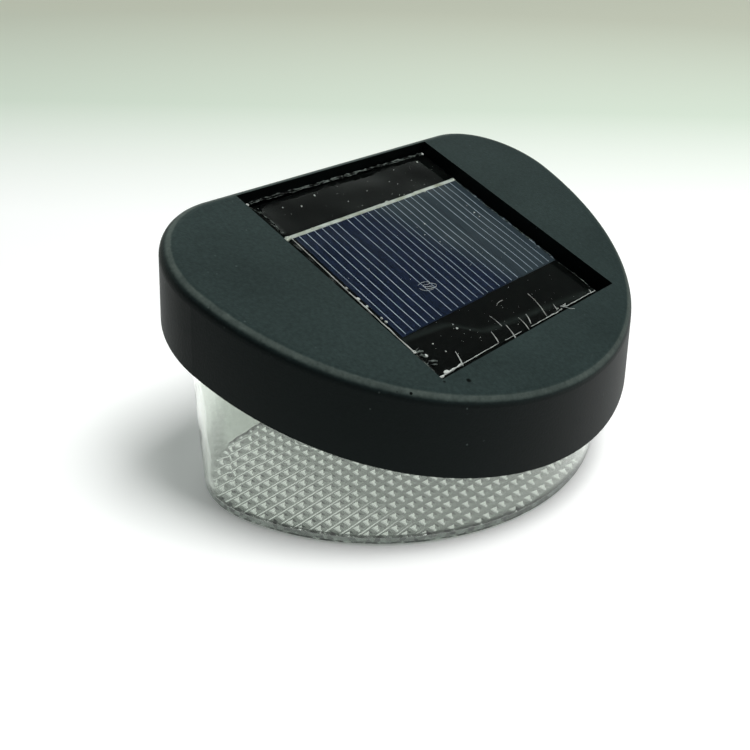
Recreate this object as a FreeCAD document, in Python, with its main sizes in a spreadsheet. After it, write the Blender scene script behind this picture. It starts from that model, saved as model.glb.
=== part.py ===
import FreeCAD, Part
import math
import os
import re
import Sketcher
from FreeCAD import Placement, Rotation, Vector

# A solar fence light: a black cap with a sloping roof and a solar panel, on a clear D-shaped cup.
# Millimetres, +X to the right, +Y to the fence, +Z up. The cup stands on Z = 0 and the origin is
# under the middle of the whole light. Two ways of placing things are used below:
#   upright: x, y from the fence's plane (negative is towards the front), z from the ground
#   tilted:  x, y down the slope of the roof, z square to the roof (negative is into the cap)

SIZES = {
    # the cap, seen from above: one wide arc, two round corners and a straight back
    "cap_arc_radius": 57.6,
    "cap_arc_setback": 15.5,
    "cap_corner_radius": 20.5,
    "cap_draft": 3.9,
    "cap_wall": 2.0,
    "roof_slope": 20.0,
    "roof_height": 59.5,
    "roof_wall": 2.0,
    "roof_edge_radius": 2.7,
    "skirt_depth": 15.3,
    # the square recess for the panel, with its tub inside the cap
    "recess_side": 59.7,
    "recess_setback": 4.3,
    "recess_depth": 5.0,
    "tub_wall": 1.5,
    "tub_floor": 1.2,
    "tub_hole_radius": 2.6,
    "tub_hole_setback": 40.0,
    # the solar panel
    "panel_gap": 0.6,
    "glue_margin": 4.0,
    "glue_depth": 0.3,
    "board_depth": 1.0,
    "cell_count": 4,
    "cell_gap": 0.5,
    "cell_depth": 0.25,
    "cell_left_margin": 5.0,
    "cell_right_margin": 1.6,
    "cell_back_margin": 11.6,
    "cell_front_margin": 13.3,
    "ribbon_width": 1.8,
    "ribbon_depth": 0.15,
    "ribbon_lap": 0.5,
    "resin_depth": 0.9,
    # the base plate that closes the cap from below
    "plate_depth": 1.6,
    "plate_gap": 0.3,
    "boss_radius": 2.6,
    "rear_boss_inset": 15.6,
    "rear_boss_setback": 22.0,
    "front_boss_inset": 17.6,
    "front_boss_setback": 50.0,
    "screw_radius": 1.1,
    "screw_head_radius": 2.2,
    "screw_head_depth": 1.5,
    "screw_grip": 6.0,
    "screw_play": 0.2,
    # the battery bay, hung upright under the plate
    "battery_radius": 7.1,
    "battery_length": 49.3,
    "battery_nub_radius": 2.75,
    "battery_nub_length": 1.2,
    "battery_headroom": 2.12,
    "battery_setback": 20.0,
    "bay_gap": 0.4,
    "bay_wall": 1.5,
    "contact_depth": 0.5,
    "contact_width": 9.0,
    "tab_width": 2.0,
    "tab_end": 0.86,
    "tab_play": 0.3,
    "spring_room": 3.8,
    "spring_radius": 3.6,
    "spring_wire_radius": 0.3,
    "spring_turns": 3,
    "cover_depth": 1.6,
    "lug_radius": 2.8,
    "lug_offset": 1.6,
    "cover_screw_radius": 0.95,
    "cover_screw_grip": 6.0,
    # the lamp circuit, between the tub and the plate
    "circuit_length": 44.0,
    "circuit_width": 16.0,
    "circuit_depth": 1.0,
    "circuit_setback": 50.0,
    "circuit_lift": 1.2,
    "rib_reach": 17.0,
    "rib_width": 2.0,
    "rib_length": 10.0,
    "lamp_reach": 11.0,
    "lamp_radius": 2.5,
    "lamp_length": 7.6,
    "lamp_flange_radius": 2.9,
    "lamp_flange_depth": 1.0,
    "lamp_play": 0.1,
    "lamp_leg_radius": 0.25,
    "lamp_leg_spacing": 2.54,
    "lamp_leg_rise": 0.5,
    "chip_length": 5.0,
    "chip_width": 4.0,
    "chip_depth": 1.4,
    "coil_length": 4.6,
    "coil_radius": 1.2,
    "coil_reach": 12.0,
    "coil_offset": 3.0,
    "coil_play": 0.2,
    "wire_radius": 0.5,
    "wire_bend": 1.0,
    "wire_sink": 0.3,
    "panel_wire_spread": 1.3,
    "panel_wire_landing": 5.0,
    "panel_wire_slack": 1.2,
    "panel_wire_inset": 4.0,
    "lead_spacing": 2.0,
    "lead_run": 5.2,
    "lead_landing": 3.0,
    # the slide switch
    "switch_gap": 2.65,
    "switch_setback": 42.0,
    "switch_length": 8.6,
    "switch_width": 4.4,
    "switch_height": 3.6,
    "switch_lip": 0.5,
    "knob_length": 2.4,
    "knob_width": 1.4,
    "knob_foot_length": 4.0,
    "knob_foot_width": 2.4,
    "knob_foot_depth": 0.8,
    "knob_reach": 2.0,
    "knob_travel": 2.0,
    "knob_play": 0.2,
    # the clear cup, its outline set in from the cap's
    "lens_inset": 3.9,
    "lens_corner_inset": 0.4,
    "lens_shift": 0.6,
    "lens_setback": 3.2,
    "lens_draft": 0.9,
    "lens_wall": 1.5,
    "lens_floor": 1.2,
    "lens_edge_radius": 1.0,
    "lens_inner_radius": 0.6,
    "rim_gap": 0.3,
    "rim_play": 0.3,
    "mount_reach": 25.0,
    "mount_height": 22.0,
    "mount_hole_radius": 2.2,
    "mount_boss_radius": 4.5,
}

doc = FreeCAD.newDocument("FenceLight")
sheet = doc.addObject("Spreadsheet::Sheet", "Sizes")
for row, (alias, value) in enumerate(SIZES.items(), start=1):
    sheet.set(f"A{row}", alias)
    sheet.set(f"B{row}", str(value))
    sheet.setAlias(f"B{row}", alias)
doc.recompute()

# Lengths that follow from the sizes, as expressions over the sheet.
LEAN = "tan(cap_draft) * tan(roof_slope)"
DEPTH = f"((cap_arc_radius + {LEAN} * cap_arc_setback) / (1 - {LEAN}) + cap_arc_setback)"
SKIRT_HEIGHT = "(roof_height - skirt_depth / cos(roof_slope))"
BOARD_SIDE = "(recess_side - 2 * panel_gap)"
BOARD_BACK = "(recess_setback + panel_gap)"
BOARD_TOP = "(glue_depth + board_depth - recess_depth)"
CELL_SPACING = f"(({BOARD_SIDE} - cell_left_margin - cell_right_margin + cell_gap) / cell_count)"
CELL_WIDTH = f"({CELL_SPACING} - cell_gap)"
CELL_LENGTH = f"({BOARD_SIDE} - cell_back_margin - cell_front_margin)"
CELL_BACK = f"({BOARD_BACK} + cell_back_margin)"
CIRCUIT_TOP = "(-recess_depth - tub_floor - coil_play - 2 * coil_radius)"
CIRCUIT_BOTTOM = f"({CIRCUIT_TOP} - circuit_depth)"
PLATE_TOP = f"({CIRCUIT_BOTTOM} - circuit_lift)"
PLATE_BOTTOM = f"({PLATE_TOP} - plate_depth)"
WIRE_LEVEL = f"({CIRCUIT_TOP} - circuit_depth / 2 - wire_sink)"
BATTERY_HEIGHT = ("(roof_height - battery_setback * tan(roof_slope)"
                  f" + ({PLATE_BOTTOM} - battery_headroom - battery_radius) / cos(roof_slope))")
BAY_LENGTH = "(battery_length + battery_nub_length + 2 * contact_depth + spring_room)"
BAY_WIDTH = "(2 * battery_radius + 2 * bay_gap)"
BAY_BOTTOM = f"({BATTERY_HEIGHT} - battery_radius - bay_gap)"
LUG_REACH = f"({BAY_LENGTH} / 2 + bay_wall + lug_offset)"
TAB_TOP = ("(roof_height - (battery_setback + tab_width / 2) * tan(roof_slope)"
           f" + {WIRE_LEVEL} / cos(roof_slope) + tab_end)")
SWITCH_REACH = f"({LUG_REACH} + lug_radius + switch_gap + switch_length / 2)"
KNOB_SLOT_LENGTH = "(knob_length + knob_travel + 2 * knob_play)"
KNOB_SLOT_WIDTH = "(knob_width + 2 * knob_play)"
RIM_TOP = f"({PLATE_BOTTOM} - rim_gap)"
BIG = 200

# The sizes that draw each D outline, to be added up. A minus sign takes one away.
OUTLINES = {
    "cap": {"wide": ["cap_arc_radius"],
            "corner": ["cap_corner_radius"],
            "setback": ["cap_arc_setback"]},
    "lens": {"wide": ["cap_arc_radius", "-lens_inset"],
             "corner": ["cap_corner_radius", "-lens_corner_inset"],
             "setback": ["cap_arc_setback", "lens_shift"]},
}
SIDES = (("right", ""), ("left", "-"))
SPRING_CORNERS = 8
NEAR = 0.01


def cells(text):
    """The expression with each size's name pointing into the sheet."""
    return re.sub(r"[a-z]+(?:_[a-z]+)+", lambda word: "Sizes." + word.group(0), str(text))


def bind(thing, **sizes):
    """Ties properties of a thing to the sheet."""
    for name, text in sizes.items():
        thing.setExpression(name, cells(text))
    return thing


def add(kind, name, **sizes):
    return bind(doc.addObject(kind, name), **sizes)


def upright(thing, x="0", y="0", z="0", turn=None):
    """Places a thing by x, y from the fence's plane and z from the ground."""
    thing.Placement = Placement(Vector(), turn or Rotation())
    bind(thing, **{"Placement.Base.x": x, "Placement.Base.y": f"{DEPTH} / 2 + ({y})", "Placement.Base.z": z})
    return thing


def tilted(thing, x="0", y="0", z="0", turn=None):
    """Places a thing by x, y along the roof's slope and z square to the roof."""
    slope = Rotation(Vector(1, 0, 0), sheet.roof_slope)
    thing.Placement = Placement(Vector(), slope.multiply(turn) if turn else slope)
    across = f"{DEPTH} / 2 + ({y}) * cos(roof_slope) - ({z}) * sin(roof_slope)"
    up = f"roof_height + ({y}) * sin(roof_slope) + ({z}) * cos(roof_slope)"
    bind(thing, **{"Placement.Base.x": x, "Placement.Base.y": across, "Placement.Base.z": up})
    if not turn:
        bind(thing, **{"Placement.Rotation.Angle": "roof_slope"})
    return thing


def box(name, length, width, height):
    return add("Part::Box", name, Length=length, Width=width, Height=height)


def rod(name, radius, height):
    return add("Part::Cylinder", name, Radius=radius, Height=height)


def tilted_box(name, x, y, z, length, width, height):
    """A box along the roof, centred on x and y, with its lower face at z."""
    block = box(name, length, width, height)
    return tilted(block, f"({x}) - ({length}) / 2", f"({y}) - ({width}) / 2", z)


def upright_box(name, x, y, z, length, width, height):
    """An upright box, centred on x and y, with its lower face at z."""
    block = box(name, length, width, height)
    return upright(block, f"({x}) - ({length}) / 2", f"({y}) - ({width}) / 2", z)


def fuse(name, shapes):
    joined = doc.addObject("Part::MultiFuse", name)
    joined.Shapes = shapes
    joined.Refine = True
    return joined


def cut(name, base, tools):
    """The base with the tools taken away."""
    tool = tools[0] if len(tools) == 1 else fuse(name + "_tools", tools)
    left = doc.addObject("Part::Cut", name)
    left.Base = base
    left.Tool = tool
    left.Refine = True
    return left


def common(name, shapes):
    both = doc.addObject("Part::MultiCommon", name)
    both.Shapes = shapes
    both.Refine = True
    return both


def group(name, shapes):
    """Like solids that share a node."""
    together = doc.addObject("Part::Compound", name)
    together.Links = shapes
    return together


def slab(name, low, high):
    """The layer between two depths under the roof, wider than the light."""
    return tilted_box(name, "0", "0", low, BIG, 2 * BIG, f"({high}) - ({low})")


def role_plane(body, role):
    return next(item for item in body.Origin.OriginFeatures if item.Role == role)


def flat_sketch(body, name, level):
    """A sketch on the body's ground plane, lifted to a level."""
    sketch = body.newObject("Sketcher::SketchObject", name)
    sketch.AttachmentSupport = [(role_plane(body, "XY_Plane"), "")]
    sketch.MapMode = "FlatFace"
    return bind(sketch, **{"AttachmentOffset.Base.z": level})


def total(names):
    """The sum of the sizes named, less those with a minus sign."""
    return sum(-sheet.get(name[1:]) if name.startswith("-") else sheet.get(name) for name in names)


def name_constraint(sketch, constraint, name, names):
    """Adds a constraint, names it and ties it to a sum of sizes."""
    index = sketch.addConstraint(constraint)
    sketch.renameConstraint(index, name)
    sketch.setExpression(f"Constraints.{name}", cells(" + ".join(names)))


def draw_outline(sketch, piece, back, insets):
    """Draws the D outline of the cap or the lens, its back and its arcs set in by the sizes named."""
    less = ["-" + name for name in insets]
    wide_names = OUTLINES[piece]["wide"] + less
    corner_names = OUTLINES[piece]["corner"] + less
    setback_names = OUTLINES[piece]["setback"]
    wide, corner, setback, line = map(total, (wide_names, corner_names, setback_names, back))
    reach = math.sqrt((wide - corner) ** 2 - (line + corner - setback) ** 2)
    lift = math.atan2(setback - line - corner, reach)
    up = Vector(0, 0, 1)
    right = Part.Circle(Vector(reach, -line - corner, 0), up, corner)
    left = Part.Circle(Vector(-reach, -line - corner, 0), up, corner)
    front = Part.Circle(Vector(0, -setback, 0), up, wide)
    sketch.addGeometry(Part.LineSegment(Vector(-reach, -line, 0), Vector(reach, -line, 0)))
    sketch.addGeometry(Part.ArcOfCircle(right, lift, math.pi / 2))
    sketch.addGeometry(Part.ArcOfCircle(front, math.pi - lift, 2 * math.pi + lift))
    sketch.addGeometry(Part.ArcOfCircle(left, math.pi / 2, math.pi - lift))
    for first, first_end, second, second_end in ((0, 2, 1, 2), (1, 1, 2, 2), (2, 1, 3, 2), (3, 1, 0, 1)):
        sketch.addConstraint(Sketcher.Constraint("Tangent", first, first_end, second, second_end))
    sketch.addConstraint(Sketcher.Constraint("Symmetric", 0, 1, 0, 2, -2))
    sketch.addConstraint(Sketcher.Constraint("Equal", 1, 3))
    name_constraint(sketch, Sketcher.Constraint("Radius", 1, corner), "corner", corner_names)
    name_constraint(sketch, Sketcher.Constraint("Radius", 2, wide), "wide", wide_names)
    name_constraint(sketch, Sketcher.Constraint("DistanceY", 2, 3, -1, 1, setback), "setback", setback_names)
    if back:
        name_constraint(sketch, Sketcher.Constraint("DistanceY", 0, 1, -1, 1, line), "back", back)
    else:
        sketch.addConstraint(Sketcher.Constraint("PointOnObject", 0, 1, -1))


def pad(body, sketch, name, length, draft, reverse=False):
    feature = body.newObject("PartDesign::Pad", name)
    feature.Profile = sketch
    feature.Reversed = reverse
    feature.Refine = True
    bind(feature, Length=length, TaperAngle=draft)
    doc.recompute()
    return feature


def cap_prism(name, insets):
    """An upright D prism with the cap's draft, set in from the cap's outside, past its top and bottom."""
    body = upright(add("PartDesign::Body", name))
    sketch = flat_sketch(body, name + "_outline", SKIRT_HEIGHT)
    draw_outline(sketch, "cap", insets, insets)
    doc.recompute()
    pad(body, sketch, name + "_above", f"roof_height - {SKIRT_HEIGHT}", "-cap_draft")
    pad(body, sketch, name + "_below", SKIRT_HEIGHT, "cap_draft", reverse=True)
    return body


def lens_prism(name, insets, level, radius):
    """An upright D prism with the cup's draft, its bottom edge rounded."""
    body = upright(add("PartDesign::Body", name))
    sketch = flat_sketch(body, name + "_outline", level)
    draw_outline(sketch, "lens", ["lens_setback"] + insets, insets)
    doc.recompute()
    prism = pad(body, sketch, name + "_pad", "roof_height", "lens_draft")
    floor = min(vertex.Z for vertex in body.Shape.Vertexes)
    bottom = [f"Edge{place}" for place, edge in enumerate(prism.Shape.Edges, start=1)
              if edge.BoundBox.ZMax - floor < NEAR]
    rounded = body.newObject("PartDesign::Fillet", name + "_round")
    rounded.Base = (prism, bottom)
    bind(rounded, Radius=radius)
    doc.recompute()
    return body


def make_cap_housing():
    """The moulded cap: drafted walls, a sloping roof, the panel's tub and four screw bosses."""
    outer = common("cap_block", [cap_prism("cap_outside", []), slab("cap_layer", "-skirt_depth", "0")])
    doc.recompute()
    rounded = doc.addObject("Part::Fillet", "cap_rounded")
    rounded.Base = outer
    radius = sheet.roof_edge_radius
    rounded.Edges = [(place, radius, radius) for place in roof_edges(outer.Shape)]
    tub_side = "recess_side + 2 * tub_wall"
    tub = tilted_box("tub_block", "0", "-recess_setback - recess_side / 2", "-recess_depth - tub_floor",
                     tub_side, tub_side, "recess_depth + tub_floor")
    inside = common("cap_hollow", [cap_prism("cap_inside", ["cap_wall"]),
                                   slab("cap_hollow_layer", "-2 * skirt_depth", "-roof_wall")])
    hollow = cut("cap_room", inside, [tub] + [boss(place) for place in range(4)])
    recess = tilted_box("recess", "0", "-recess_setback - recess_side / 2", "-recess_depth",
                        "recess_side", "recess_side", "2 * recess_depth")
    hole = tilted(rod("tub_hole", "tub_hole_radius", "2 * recess_depth"),
                  "0", "-tub_hole_setback", "-2 * recess_depth")
    return cut("cap_housing", rounded, [hollow, recess, hole] + [pilot(place) for place in range(4)])


def roof_edges(shape):
    """The numbers of the edges around the roof: those whose middle lies on the roof's plane."""
    slope = math.radians(sheet.roof_slope)
    normal = Vector(0, -math.sin(slope), math.cos(slope))
    top = max(vertex.Point.dot(normal) for vertex in shape.Vertexes)
    numbers = []
    for place, edge in enumerate(shape.Edges, start=1):
        middle = edge.valueAt((edge.FirstParameter + edge.LastParameter) / 2)
        if abs(middle.dot(normal) - top) < NEAR:
            numbers.append(place)
    return numbers


def boss_place(place):
    """The x and y, along the roof, of one of the four base plate screws."""
    side = "-" if place % 2 else ""
    row = "rear" if place < 2 else "front"
    return f"{side}(cap_arc_radius - {row}_boss_inset)", f"-{row}_boss_setback"


def boss(place):
    x, y = boss_place(place)
    return tilted(rod(f"boss_{place}", "boss_radius", f"-{PLATE_TOP}"), x, y, PLATE_TOP)


def pilot(place):
    x, y = boss_place(place)
    return tilted(rod(f"pilot_{place}", "screw_radius", "screw_grip + 1"), x, y, PLATE_TOP)


def make_panel():
    """The solar panel, from its bed of glue up to the clear resin."""
    middle = "-recess_setback - recess_side / 2"
    glue_side = f"{BOARD_SIDE} - 2 * glue_margin"
    glue = tilted_box("glue_bed", "0", middle, "-recess_depth", glue_side, glue_side, "glue_depth")
    glue_hole = tilted(rod("glue_hole", "tub_hole_radius", "3 * glue_depth"),
                       "0", "-tub_hole_setback", "-recess_depth - glue_depth")
    board = tilted_box("solar_board", "0", middle, "glue_depth - recess_depth",
                       BOARD_SIDE, BOARD_SIDE, "board_depth")
    strips = [cell_strip(place) for place in range(int(sheet.cell_count))]
    ribbons = [ribbon(place) for place in range(int(sheet.cell_count))]
    poured = tilted_box("resin_sheet", "0", middle, BOARD_TOP, BOARD_SIDE, BOARD_SIDE, "resin_depth")
    cells_group = group("solar_cells", strips)
    ribbons_group = fuse("cell_ribbons", ribbons)
    resin = cut("panel_resin", poured, [cells_group, ribbons_group])
    return [cut("panel_glue", glue, [glue_hole]), board, cells_group, ribbons_group, resin]


def cell_middle(place):
    return f"cell_left_margin + {CELL_WIDTH} / 2 + {place} * {CELL_SPACING} - {BOARD_SIDE} / 2"


def cell_strip(place):
    return tilted_box(f"cell_{place}", cell_middle(place), f"-{CELL_BACK} - {CELL_LENGTH} / 2", BOARD_TOP,
                      CELL_WIDTH, CELL_LENGTH, "cell_depth")


def ribbon(place):
    """One length of the tinned ribbon along the back of the strips, lapped onto its neighbour."""
    return tilted_box(f"ribbon_{place}", cell_middle(place), f"-{CELL_BACK} - ribbon_width / 2",
                      f"{BOARD_TOP} + cell_depth", f"{CELL_SPACING} + ribbon_lap",
                      "ribbon_width", "ribbon_depth")


def make_base_plate():
    """The plate under the cap, with the battery bay, the switch's slot and the lamps' holes."""
    flat = common("plate_flat", [cap_prism("plate_outside", ["cap_wall", "plate_gap"]),
                                 slab("plate_layer", PLATE_BOTTOM, PLATE_TOP)])
    bay = common("bay_outside", [
        upright_box("bay_block", "0", "-battery_setback", BAY_BOTTOM, f"{BAY_LENGTH} + 2 * bay_wall",
                    f"{BAY_WIDTH} + 2 * bay_wall", "roof_height"),
        slab("bay_layer", -BIG, PLATE_TOP)])
    lug_rods = [upright(rod(f"lug_{side}", "lug_radius", "roof_height"),
                        f"{sign}{LUG_REACH}", "-battery_setback", BAY_BOTTOM) for side, sign in SIDES]
    lugs = common("bay_lugs", [fuse("lug_rods", lug_rods), slab("lug_layer", -BIG, PLATE_TOP)])
    ribs = [tilted_box(f"rib_{side}", f"{sign}rib_reach", "-circuit_setback", PLATE_TOP,
                       "rib_width", "rib_length", "circuit_lift") for side, sign in SIDES]
    room = common("bay_room", [
        upright_box("bay_space", "0", "-battery_setback", f"{BAY_BOTTOM} - 1",
                    BAY_LENGTH, BAY_WIDTH, "roof_height"),
        slab("bay_room_layer", -BIG, PLATE_BOTTOM)])
    slot = tilted_box("knob_slot", f"-{SWITCH_REACH}", "-switch_setback", f"{PLATE_BOTTOM} - 1",
                      KNOB_SLOT_LENGTH, KNOB_SLOT_WIDTH, "plate_depth + 2")
    tools = [room, slot]
    for side, sign in SIDES:
        tools.append(tilted(rod(f"lamp_hole_{side}", "lamp_radius + lamp_play", "plate_depth + 2"),
                            f"{sign}lamp_reach", "-circuit_setback", f"{PLATE_BOTTOM} - 1"))
        tools.append(upright_box(f"tab_slot_{side}", f"{sign}({BAY_LENGTH} - contact_depth) / 2",
                                 "-battery_setback", BATTERY_HEIGHT, "contact_depth + 2 * tab_play",
                                 "tab_width + 2 * tab_play", "roof_height"))
        tools.append(upright(rod(f"lug_pilot_{side}", "cover_screw_radius", "cover_screw_grip + 1"),
                             f"{sign}{LUG_REACH}", "-battery_setback", BAY_BOTTOM))
    for place in range(4):
        x, y = boss_place(place)
        tools.append(tilted(rod(f"plate_hole_{place}", "screw_radius + screw_play", "plate_depth + 2"),
                            x, y, f"{PLATE_BOTTOM} - 1"))
    return cut("base_plate", fuse("plate_body", [flat, bay, lugs] + ribs), tools)


def make_plate_screws():
    """Four pan-head screws through the plate into the cap's bosses."""
    screws = []
    for place in range(4):
        x, y = boss_place(place)
        head = tilted(rod(f"screw_head_{place}", "screw_head_radius", "screw_head_depth"),
                      x, y, f"{PLATE_BOTTOM} - screw_head_depth")
        shank = tilted(rod(f"screw_shank_{place}", "screw_radius", "plate_depth + screw_grip"),
                       x, y, PLATE_BOTTOM)
        screws.append(fuse(f"screw_{place}", [head, shank]))
    return group("base_plate_screws", screws)


def make_circuit():
    """The circuit board on its two ribs, with the chip and the coil."""
    board = tilted_box("circuit_sheet", "0", "-circuit_setback", CIRCUIT_BOTTOM,
                       "circuit_length", "circuit_width", "circuit_depth")
    holes = [tilted(rod(f"leg_hole_{place}", "2 * lamp_leg_radius", "circuit_depth + 2"),
                    leg_place(place), "-circuit_setback", f"{CIRCUIT_BOTTOM} - 1") for place in range(4)]
    chip = tilted_box("controller_chip", "0", "-circuit_setback", CIRCUIT_TOP,
                      "chip_length", "chip_width", "chip_depth")
    return [cut("circuit_board", board, holes), chip, make_coil()]


def make_coil():
    """The boost coil: a small barrel lying on the board, with a leg down at each end."""
    middle = "-circuit_setback - coil_offset"
    barrel = tilted(rod("coil_barrel", "coil_radius", "coil_length"), "coil_reach - coil_length / 2", middle,
                    f"{CIRCUIT_TOP} + coil_radius", Rotation(Vector(0, 1, 0), 90))
    legs = [tilted_box(f"coil_leg_{side}", f"coil_reach + {sign}coil_length / 2", middle, CIRCUIT_TOP,
                       "2 * lamp_leg_radius", "2 * lamp_leg_radius", "coil_radius") for side, sign in SIDES]
    return fuse("inductor", [barrel] + legs)


def leg_place(place):
    """The x of one of the four lamp legs."""
    side = "-" if place < 2 else ""
    step = "-" if place % 2 else "+"
    return f"{side}lamp_reach {step} lamp_leg_spacing / 2"


def make_lamp(side, sign, legs):
    """A 5 mm lamp: a barrel with a round nose, hung by its flange in the plate, legs up through the board."""
    straight = "(lamp_length - lamp_radius)"
    place = (f"{sign}lamp_reach", "-circuit_setback")
    barrel = tilted(rod(f"lamp_barrel_{side}", "lamp_radius", straight), *place, f"{PLATE_TOP} - {straight}")
    nose = tilted(add("Part::Sphere", f"lamp_nose_{side}", Radius="lamp_radius"),
                  *place, f"{PLATE_TOP} - {straight}")
    flange = tilted(rod(f"lamp_flange_{side}", "lamp_flange_radius", "lamp_flange_depth"), *place, PLATE_TOP)
    length = "circuit_lift - lamp_flange_depth + circuit_depth + lamp_leg_rise"
    pins = [tilted(rod(f"lamp_leg_{leg}", "lamp_leg_radius", length),
                   leg_place(leg), "-circuit_setback", f"{PLATE_TOP} + lamp_flange_depth") for leg in legs]
    return fuse(f"led_{side}", [barrel, nose, flange] + pins)


def make_switch():
    """The slide switch: a housing on the plate, and the knob whose foot runs inside it."""
    reach = f"-{SWITCH_REACH}"
    case = tilted_box("switch_case", reach, "-switch_setback", PLATE_TOP,
                      "switch_length", "switch_width", "switch_height")
    window = tilted_box("switch_window", reach, "-switch_setback", f"{PLATE_TOP} - 1",
                        KNOB_SLOT_LENGTH, KNOB_SLOT_WIDTH, "switch_lip + 1 + knob_play / 2")
    track = tilted_box("switch_track", reach, "-switch_setback", f"{PLATE_TOP} + switch_lip",
                       "knob_foot_length + knob_travel + 2 * knob_play", "knob_foot_width + 2 * knob_play",
                       "knob_foot_depth + 2 * knob_play")
    start = f"{reach} - knob_travel / 2"
    foot = tilted_box("knob_foot", start, "-switch_setback", f"{PLATE_TOP} + switch_lip + knob_play",
                      "knob_foot_length", "knob_foot_width", "knob_foot_depth")
    stem = tilted_box("knob_stem", start, "-switch_setback", f"{PLATE_BOTTOM} - knob_reach",
                      "knob_length", "knob_width",
                      "knob_reach + plate_depth + switch_lip + knob_play + knob_foot_depth / 2")
    return [cut("switch_housing", case, [window, track]), fuse("switch_knob", [foot, stem])]


def make_battery():
    """One AA cell with its positive nub, lying along X."""
    along = Rotation(Vector(0, 1, 0), 90)
    place = (f"(spring_room + contact_depth - {BAY_LENGTH} / 2)", "-battery_setback", BATTERY_HEIGHT, along)
    can = upright(rod("battery_can", "battery_radius", "battery_length"), *place)
    nub = upright(rod("battery_nub", "battery_nub_radius", "battery_length + battery_nub_length"), *place)
    return fuse("battery_cell", [can, nub])


def make_contact(name, sign):
    """A flat contact at one end of the bay, with a tab up through the plate."""
    x = f"{sign}({BAY_LENGTH} - contact_depth) / 2"
    leaf = upright_box(name + "_leaf", x, "-battery_setback", f"{BATTERY_HEIGHT} - contact_width / 2",
                       "contact_depth", "contact_width", "contact_width")
    tab = upright_box(name + "_tab", x, "-battery_setback", BATTERY_HEIGHT,
                      "contact_depth", "tab_width", f"{TAB_TOP} - {BATTERY_HEIGHT}")
    return fuse(name, [leaf, tab])


def wire_path(points, bend=None):
    """Straight runs with an arc at each corner. With no bend given, arcs meet at the middles of the runs."""
    edges = []
    start = points[0]
    for before, corner, after in zip(points, points[1:], points[2:]):
        incoming = (before - corner).normalize()
        outgoing = (after - corner).normalize()
        half_turn = (math.pi - incoming.getAngle(outgoing)) / 2
        reach = bend * math.tan(half_turn) if bend else (after - corner).Length / 2
        radius = reach / math.tan(half_turn)
        near = corner + incoming * reach
        far = corner + outgoing * reach
        centre = corner + (incoming + outgoing).normalize() * (radius / math.cos(half_turn))
        middle = centre + (corner - centre).normalize() * radius
        if (near - start).Length > NEAR:
            edges.append(Part.LineSegment(start, near).toShape())
        edges.append(Part.Arc(near, middle, far).toShape())
        start = far
    edges.append(Part.LineSegment(start, points[-1]).toShape())
    return Part.Wire(edges)


def drawn_wire(name, path, radius):
    """A round wire of one radius along a path."""
    first = path.Edges[0]
    start = first.valueAt(first.FirstParameter)
    ahead = first.tangentAt(first.FirstParameter)
    ring = Part.Wire([Part.Circle(start, ahead, radius).toShape()])
    wire = doc.addObject("Part::Feature", name)
    wire.Shape = path.makePipeShell([ring], True, False)
    return wire


def make_spring():
    """The negative coil spring, wound between its contact and the cell."""
    height = sheet.spring_room - 2 * sheet.spring_wire_radius
    steps = SPRING_CORNERS * int(sheet.spring_turns)
    corner_radius = sheet.spring_radius / math.cos(math.pi / SPRING_CORNERS)
    points = []
    for step in range(steps + 1):
        angle = 2 * math.pi * step / SPRING_CORNERS
        points.append(Vector(corner_radius * math.cos(angle), corner_radius * math.sin(angle),
                             height * step / steps))
    spring = drawn_wire("battery_spring", wire_path(points), sheet.spring_wire_radius)
    return upright(spring, f"contact_depth + spring_wire_radius - {BAY_LENGTH} / 2", "-battery_setback",
                   BATTERY_HEIGHT, Rotation(Vector(0, 1, 0), 90))


def make_cover():
    """The lid of the battery bay, with an ear for each of its two screws."""
    low = f"{BAY_BOTTOM} - cover_depth"
    lid = upright_box("cover_lid", "0", "-battery_setback", low, f"{BAY_LENGTH} + 2 * bay_wall",
                      f"{BAY_WIDTH} + 2 * bay_wall", "cover_depth")
    ears = []
    holes = []
    screws = []
    for side, sign in SIDES:
        place = (f"{sign}{LUG_REACH}", "-battery_setback")
        ears.append(upright(rod(f"cover_ear_{side}", "lug_radius", "cover_depth"), *place, low))
        holes.append(upright(rod(f"cover_hole_{side}", "cover_screw_radius + screw_play", "cover_depth + 2"),
                             *place, f"{low} - 1"))
        head = upright(rod(f"cover_head_{side}", "2 * cover_screw_radius", "screw_head_depth"),
                       *place, f"{low} - screw_head_depth")
        shank = upright(rod(f"cover_shank_{side}", "cover_screw_radius", "cover_depth + cover_screw_grip"),
                        *place, low)
        screws.append(fuse(f"cover_screw_{side}", [head, shank]))
    cover = cut("battery_cover", fuse("cover_body", [lid] + ears), holes)
    return [cover, group("battery_cover_screws", screws)]


def insulated_wire(name, points):
    """A wire lying inside the cap along points given along the roof."""
    path = wire_path([Vector(*point) for point in points], sheet.wire_bend)
    return tilted(drawn_wire(name, path, sheet.wire_radius))


def circuit_top():
    """The top of the circuit board: under the tub, with room for the coil."""
    return -(sheet.recess_depth + sheet.tub_floor + sheet.coil_play + 2 * sheet.coil_radius)


def wire_level():
    """The height at which the battery's and the switch's leads meet the edge of the circuit board."""
    return circuit_top() - sheet.circuit_depth / 2 - sheet.wire_sink


def bay_length():
    """The inside length of the battery bay."""
    return sheet.battery_length + sheet.battery_nub_length + 2 * sheet.contact_depth + sheet.spring_room


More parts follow.
